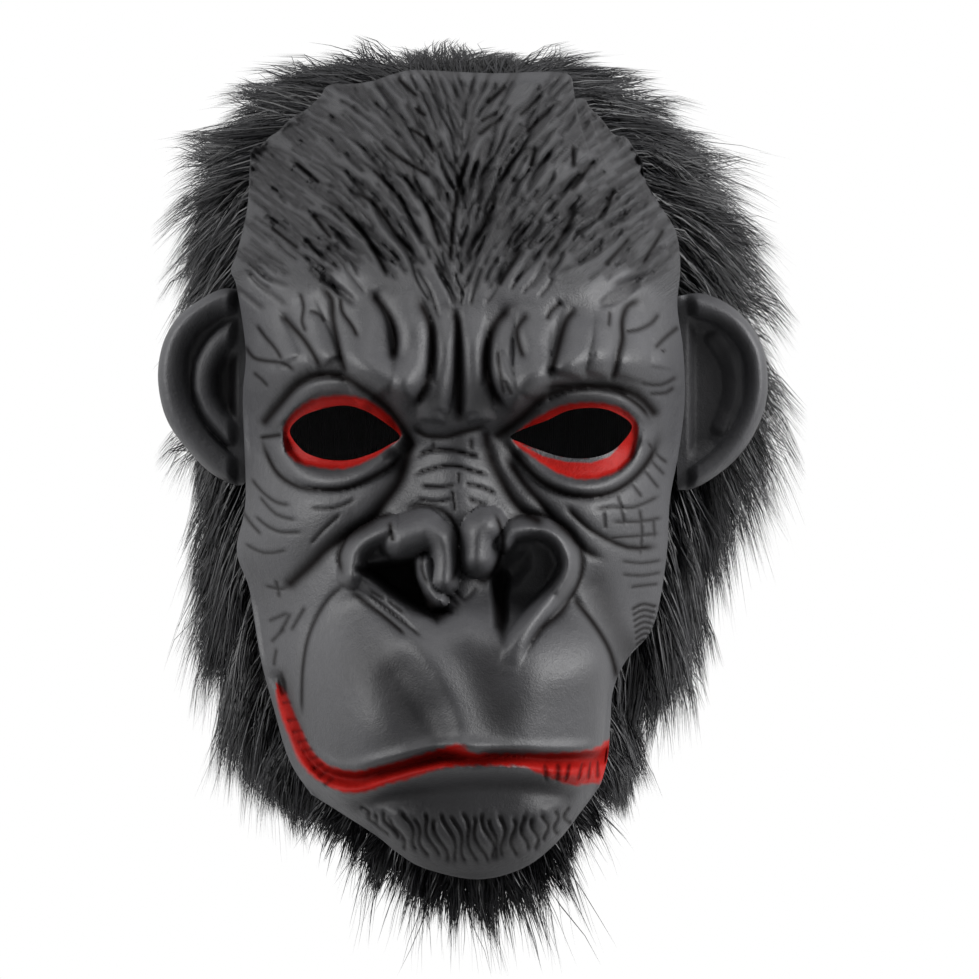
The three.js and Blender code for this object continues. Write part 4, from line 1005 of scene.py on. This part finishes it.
def ribbons(name, random, normals, paths, widths, material):
    """Tapered ribbons along paths of points: two edge points at each step and one at the tip."""
    count, steps, _ = paths.shape
    tangents = unit(np.gradient(paths, axis=1))
    turn = random.uniform(-1.0, 1.0, (count, 1, 1))
    binormal = unit(np.cross(tangents, normals[:, None]))
    side = binormal * np.cos(turn) + np.cross(tangents, binormal) * np.sin(turn)
    taper = (1 - (np.arange(steps) / (steps - 1)) ** 2.2)[None, :, None] * widths[:, None, None] / 2
    left, right = paths - side * taper, paths + side * taper
    body = np.stack([left[:, :-1], right[:, :-1]], axis=2).reshape(count, -1, 3)
    points = np.concatenate([body, paths[:, -1:]], axis=1)
    per = points.shape[1]
    base = (np.arange(count) * per)[:, None, None]
    k = 2 * np.arange(steps - 2)[None, :, None]
    quads = (base + k + np.array([0, 1, 3, 2])[None, None]).reshape(-1, 4)
    tips = (base[:, 0] + np.array([per - 3, per - 2, per - 1])[None]).reshape(-1, 3)

    mesh = bpy.data.meshes.new(name)
    loops = np.concatenate([quads.ravel(), tips.ravel()]).astype(np.int32)
    mesh.vertices.add(count * per)
    mesh.vertices.foreach_set("co", (points * MM).astype(np.float32).ravel())
    mesh.loops.add(len(loops))
    mesh.loops.foreach_set("vertex_index", loops)
    starts = np.concatenate([4 * np.arange(len(quads)), 4 * len(quads) + 3 * np.arange(len(tips))])
    mesh.polygons.add(len(starts))
    mesh.polygons.foreach_set("loop_start", starts.astype(np.int32))
    mesh.update(calc_edges=True)
    rounded_off(mesh)
    # Each strand's own random tone, plus painted sheen: every strand paler from its root to its tip
    tone = np.repeat(random.random(count) ** 3, per) * 0.8
    run = np.concatenate([np.repeat(np.arange(steps - 1), 2), [steps - 1]]) / (steps - 1)
    set_attribute(mesh, "tone", np.clip(tone + 0.25 * np.tile(run, count), 0, 1))
    mesh.materials.append(material)
    return put(name, mesh)


def leaders(roots, random, share):
    """For each root, the index of the nearest of a few roots picked as leaders of locks."""
    picked = random.choice(len(roots), max(1, int(len(roots) * share)), replace=False)
    nearest = np.empty(len(roots), int)
    for start in range(0, len(roots), 2000):
        apart = roots[start : start + 2000, None] - roots[picked][None]
        nearest[start : start + 2000] = (apart**2).sum(axis=2).argmin(axis=1)
    return picked[nearest]


def strand_paths(random, roots, normals, flow, length, height, droop, steps=5):
    """Strands from root to tip: along the flow, rising off the cloth to their height, sinking by their droop,
    waved a little, and drawn toward the tip of the nearest leading strand."""
    count = len(roots)
    lead = leaders(roots, random, LEADER_SHARE)
    flow = unit(flow + random.normal(0, 0.15, roots.shape) * np.isin(np.arange(count), lead)[:, None])
    t = np.linspace(0, 1, steps)[None, :, None]
    length, height, droop = (np.asarray(a)[:, None, None] for a in (length, height, droop))
    reach = np.sqrt(np.maximum(length**2 - height**2, (0.3 * length) ** 2))
    lift = t * (1.55 - 0.55 * t)
    paths = roots[:, None] + flow[:, None] * reach * t + normals[:, None] * height * lift
    paths[..., 2] -= (droop * length * t**2)[..., 0]
    across = np.cross(flow, normals)[:, None]
    phase, size = random.uniform(0, 6.3, (count, 1, 1)), random.normal(0, 1, (count, 1, 1))
    paths += across * (np.sin(4.2 * t + phase) - np.sin(phase)) * size * 0.07 * length
    offset = (roots - roots[lead])[:, None] * (1 - 0.86 * t)
    draw = np.clip(random.normal(0.66, 0.2, (count, 1, 1)), 0, 0.95) * smooth(t * 1.25)
    ratio = np.clip(length / length[lead], 0.6, 1.15)
    lead_path = roots[lead][:, None] + (paths[lead] - roots[lead][:, None]) * ratio
    return mix(paths, lead_path + offset, draw)


def held_in(paths, room):
    """Strands shortened toward their roots by the share that keeps their tips in a room of x, y, z spans."""
    low, high = np.array(room, float).T
    root, run = paths[:, 0], paths[:, -1] - paths[:, 0]
    free = np.where(run > 0, high - root, root - low) / np.maximum(np.abs(run), 1e-6)
    share = np.clip(free.min(axis=1), 0.2, 1)[:, None, None]
    return root[:, None] + (paths - root[:, None]) * share


def strands(name, random, roots, normals, flow, length, height, droop, material):
    """Fur from its roots, lifted a little off the cloth, laid, kept in its room and drawn as ribbons."""
    droops = np.full(len(roots), droop)
    paths = strand_paths(random, roots + normals * 0.3, normals, flow, length, height, droops)
    widths = random.uniform(*STRAND_WIDTHS, len(roots))
    return ribbons(name, random, normals, held_in(paths, FUR_ROOM), widths, material)


def ear_span(column):
    """One where an ear stands before the fur, nothing above and below it, by the hood's edge there."""
    z = hood_point(column, np.ones_like(column))[:, 2]
    return smooth((-66 - z) / 8) * smooth((z + 150.5) / 8)


def make_fur(name, seed, hood, columns, rows, count, material):
    """Fur of one part of the hood: strands rooted on the cloth, lying as the table of the fur's lie says."""
    random = np.random.default_rng(seed)
    column, row = hood.scatter(random, count, columns, rows)
    start = 1.05 + 0.8 * ear_span(column)
    row = np.where(row < start, start + (row - rows[0]) * 0.3, row)
    roots, normals, back = hood.at(column, row)
    behind = smooth((roots[:, 1] - HOOD_WIDEST_Y) / 60)
    lie = zip(look_up(FUR_LIE, column / HOOD_COLUMNS), FUR_LIE_BEHIND)
    length, height, backward, downward, outward = (mix(before, after, behind) for before, after in lie)
    pull = np.zeros_like(roots)
    pull[:, 2] = -downward
    pull[:, 0] = outward * np.clip(roots[:, 0] / 20, -1, 1)
    flow = pull + back * backward[:, None] + random.normal(0, 0.12, roots.shape)
    flow = unit(flow - normals * np.sum(flow * normals, axis=1, keepdims=True))
    low = smooth((-188 - roots[:, 2]) / 45)
    length, height = length * mix(1, 0.58, low), height * mix(1, 0.75, low)
    short = random.random(len(roots)) < 0.25
    stray = random.random(len(roots)) < 0.05
    length = length * random.uniform(0.72, 1.12, len(roots)) * np.where(short, 0.55, np.where(stray, 1.35, 1))
    height = height * random.uniform(0.3, 1.1, len(roots)) * np.where(short, 0.6, 1)
    return strands(name, random, roots, normals, flow, length, height, 0.08, material)


def make_beard(name, seed, strap, count, material):
    """Fur of the strap under the jaw, hanging down and fanning outward."""
    random = np.random.default_rng(seed)
    column, row = strap.scatter(random, count, (0.1, CHIN_COLUMNS - 0.1), (1.15, 2.95))
    roots, normals, _ = strap.at(column, row)
    flow = np.stack([roots[:, 0] * 0.012, np.full(len(roots), 0.05), np.full(len(roots), -1.0)], axis=1)
    flow = unit(flow + random.normal(0, 0.22, roots.shape))
    middle = 1 - (column / CHIN_COLUMNS * 2 - 1) ** 2
    wisp = random.random(len(roots)) < 0.14
    length = (10 + 7 * middle) * random.uniform(0.5, 1.2, len(roots)) * np.where(wisp, 2.0, 1)
    return strands(name, random, roots, normals, flow, length, 0.25 * length, 0.1, material)


def colour(hexadecimal):
    """Linear red, green, blue and alpha of an sRGB hex value."""
    parts = [int(hexadecimal[k : k + 2], 16) / 255 for k in (1, 3, 5)]
    return [c / 12.92 if c <= 0.04045 else ((c + 0.055) / 1.055) ** 2.4 for c in parts] + [1.0]


def fill(node, settings):
    """Sets a node's properties and inputs, and links those inputs that are given another node's output."""
    for key, value in settings.items():
        if isinstance(value, bpy.types.NodeSocket):
            node.id_data.links.new(value, node.inputs[key])
        elif isinstance(key, str) and hasattr(node, key):
            setattr(node, key, value)
        else:
            node.inputs[key].default_value = value
    return node


def add(tree, kind, settings, output=0):
    """An output of a new shader node."""
    return fill(tree.nodes.new("ShaderNode" + kind), settings).outputs[output]


def attribute(tree, name, output="Fac"):
    """The values written on the mesh under a name."""
    return add(tree, "Attribute", {"attribute_name": name}, output)


def noise(tree, place, scale, detail, roughness=0.5):
    """Cloudy noise from 0 to 1 at a place."""
    return add(tree, "TexNoise", {"Scale": scale, "Detail": detail, "Roughness": roughness, "Vector": place})


def ranged(tree, value, *ends):
    """A value carried from between the first two ends to between the last two, 0 and 1 if left out."""
    names = ("From Min", "From Max", "To Min", "To Max")
    return add(tree, "MapRange", {"Value": value} | dict(zip(names, ends)))


def combined(tree, operation, *values):
    """Values or outputs put together by one operation."""
    return add(tree, "Math", {"operation": operation} | dict(enumerate(values)))


def blend(tree, share, *ends):
    """A colour mixed by a share from a first to a second, each a hex value or another node's output."""
    first, second = (colour(end) if isinstance(end, str) else end for end in ends)
    return add(tree, "Mix", {"data_type": "RGBA", 0: share, 6: first, 7: second}, 2)


def bump(tree, strength, distance, height, below=None):
    """The surface raised by a height, over the surface below."""
    under = {"Normal": below} if below else {}
    return add(tree, "Bump", {"Strength": strength, "Distance": distance, "Height": height} | under)


def new_material(name):
    """A node material with its tree and its shader."""
    material = bpy.data.materials.new(name)
    material.use_nodes = True
    return material, material.node_tree, material.node_tree.nodes["Principled BSDF"]


def moulded_latex():
    """Moulded latex rubber, sprayed matt dark grey, with painted shade darkening the carved lines, creases
    and hollows, and red brushed on lips
    and eyelids: soft broad highlights, a fine grain from the mould, and paint a little worn and glossier."""
    material, tree, shader = new_material("moulded_latex")
    place = add(tree, "TexCoord", {}, "Object")
    painted_shade, combing = attribute(tree, "painted_shade"), attribute(tree, "combing", "Vector")
    paint = ranged(tree, attribute(tree, "paint"), 0.2, 0.74)
    mottle, grain = noise(tree, place, 55, 5, 0.6), noise(tree, place, 1500, 3, 0.65)
    worn, hair = noise(tree, place, 240, 4, 0.7), noise(tree, combing, 2.6, 6, 0.7)
    # Painted shade: dark lines in the grooves of the carved hair where the face is carved, then more in every
    # crease and hollow
    strength = add(tree, "SeparateXYZ", {"Vector": combing}, "Z")
    lines = combined(tree, "MULTIPLY", ranged(tree, hair, 0.42, 0.3, 0, 0.4), strength)
    body = blend(tree, mottle, "#171718", "#202022")
    dark = blend(tree, combined(tree, "MAXIMUM", painted_shade, lines), body, "#050404")
    # Red paint, a little worn, darkened with painted shade in the creases
    red = blend(tree, painted_shade, blend(tree, worn, "#460302", "#600a07"), "#160202")
    carved = bump(tree, 0.9, 0.0015, combined(tree, "MULTIPLY", hair, strength))
    fine = bump(tree, 0.45, 0.0004, grain, carved)
    dull = combined(tree, "MULTIPLY_ADD", paint, 0.8, painted_shade)
    fill(shader, {
        "Base Color": blend(tree, paint, dark, red), "Normal": bump(tree, 0.3, 0.0012, worn, fine),
        "Roughness": ranged(tree, worn, 0, 1, 0.62, 0.46), "IOR": 1.5,
        "Specular IOR Level": ranged(tree, dull, 0, 1, 0.15, 0.01),
    })
    return material


def synthetic_fur():
    """Long acrylic pile, dyed black: near-black strands, some paler than others, each painted paler from root
    to tip as a painted grey sheen.
    """
    material, tree, shader = new_material("synthetic_fur")
    shade = blend(tree, attribute(tree, "tone"), "#030304", "#131315")
    fill(shader, {"Base Color": shade, "Roughness": 0.46, "Specular IOR Level": 0.1, "IOR": 1.5})
    return material


def knitted_backing():
    """Knitted polyester backing of the pile cloth, dyed black: dull, with fine ribs of stitches."""
    material, tree, shader = new_material("knitted_backing")
    place = add(tree, "TexCoord", {}, "Object")
    ribs = add(tree, "TexWave", {"Scale": 420, "Distortion": 2, "Detail": 2, "Vector": place}, "Fac")
    yarn = blend(tree, noise(tree, place, 900, 3), "#08080a", "#1c1c1f")
    fill(shader, {"Base Color": yarn, "Normal": bump(tree, 0.5, 0.0006, ribs), "Roughness": 0.95})
    return material


def pale_paper():
    """Matt pale studio paper, without any shine."""
    material, _, shader = new_material("pale_paper")
    fill(shader, {"Base Color": colour("#a2a2a2"), "Roughness": 1.0, "Specular IOR Level": 0.0})
    return material


def make_stage():
    """A pale floor, an even white room, three soft lights and the camera at the photograph's angle."""
    half, level = FLOOR
    corners = [(-half, -half, level), (half, -half, level), (half, half, level), (-half, half, level)]
    make_piece("floor", corners, [[[0, 1, 2, 3]]], pale_paper())
    scene = bpy.context.scene
    scene.world = bpy.data.worlds.new("studio")
    scene.world.use_nodes = True
    fill(scene.world.node_tree.nodes["Background"], {"Color": colour("#ffffff"), "Strength": 1.0})
    for name, place, size, power in LIGHTS:
        light = bpy.data.lights.new(name, "AREA")
        light.shape, light.size, light.energy = "SQUARE", size * MM, power
        lamp = put(name, light)
        lamp.location = [c * MM for c in place]
        x, y, z = np.array(LIGHT_AIM) - place
        lamp.rotation_euler = (math.atan2(math.hypot(x, y), -z), 0, math.atan2(-x, y))
    camera = bpy.data.cameras.new("camera")
    camera.sensor_width, camera.clip_end = 36, 50
    camera.lens = camera.sensor_width * CAMERA_DISTANCE / PHOTO_WIDTH
    scene.camera = put("camera", camera)
    x, z = PHOTO_MIDDLE
    scene.camera.location = [c * MM for c in (x, PHOTO_PLANE - CAMERA_DISTANCE, z)]
    scene.camera.rotation_euler = (math.pi / 2, 0, 0)
    scene.view_settings.view_transform = "Standard"


make_stage()
latex, fur, backing = moulded_latex(), synthetic_fur(), knitted_backing()
hood_cloth = Cloth(hood_point, HOOD_COLUMNS, HOOD_ROWS, 4)
jaw_strap = Cloth(strap_point, CHIN_COLUMNS, 3, 4)
DENSITY = 1.0
CROWN = (HOOD_COLUMNS * 0.36, HOOD_COLUMNS * 0.64)
NAPE_ROW = 7.5

pieces = [
    (make_face(latex), "face_shell", "face"),
    (make_ear("ear_at_right", EAR_RIGHT, EAR_RIGHT_ROLLS, EAR_RIGHT_HOLLOWS, latex), "ear_right", "ears"),
    (make_ear("ear_at_left", EAR_LEFT, EAR_LEFT_ROLLS, EAR_LEFT_HOLLOWS, latex), "ear_left", "ears"),
    (make_hood(hood_cloth, jaw_strap, backing), "hood_cloth", "cloth"),
]
for name, seed, columns, rows, count, node in (
    ("fur_crown", 1, CROWN, (1.05, NAPE_ROW), 25000, "crown_fur"),
    ("fur_right", 2, (0.1, CROWN[0]), (1.05, NAPE_ROW), 26500, "side_fur_right"),
    ("fur_left", 3, (CROWN[1], HOOD_COLUMNS - 0.1), (1.05, NAPE_ROW), 26500, "side_fur_left"),
    ("fur_nape", 4, (0, HOOD_COLUMNS), (NAPE_ROW, HOOD_ROWS - 0.02), 23000, "nape_fur"),
):
    pieces.append((make_fur(name, seed, hood_cloth, columns, rows, int(count * DENSITY), fur), node, "fur"))
pieces.append((make_beard("fur_chin", 6, jaw_strap, int(6500 * DENSITY), fur), "chin_fur", "fur"))

for piece, node, slot in pieces:
    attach(piece, "root")
    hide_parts(node)

bpy.context.view_layer.update()
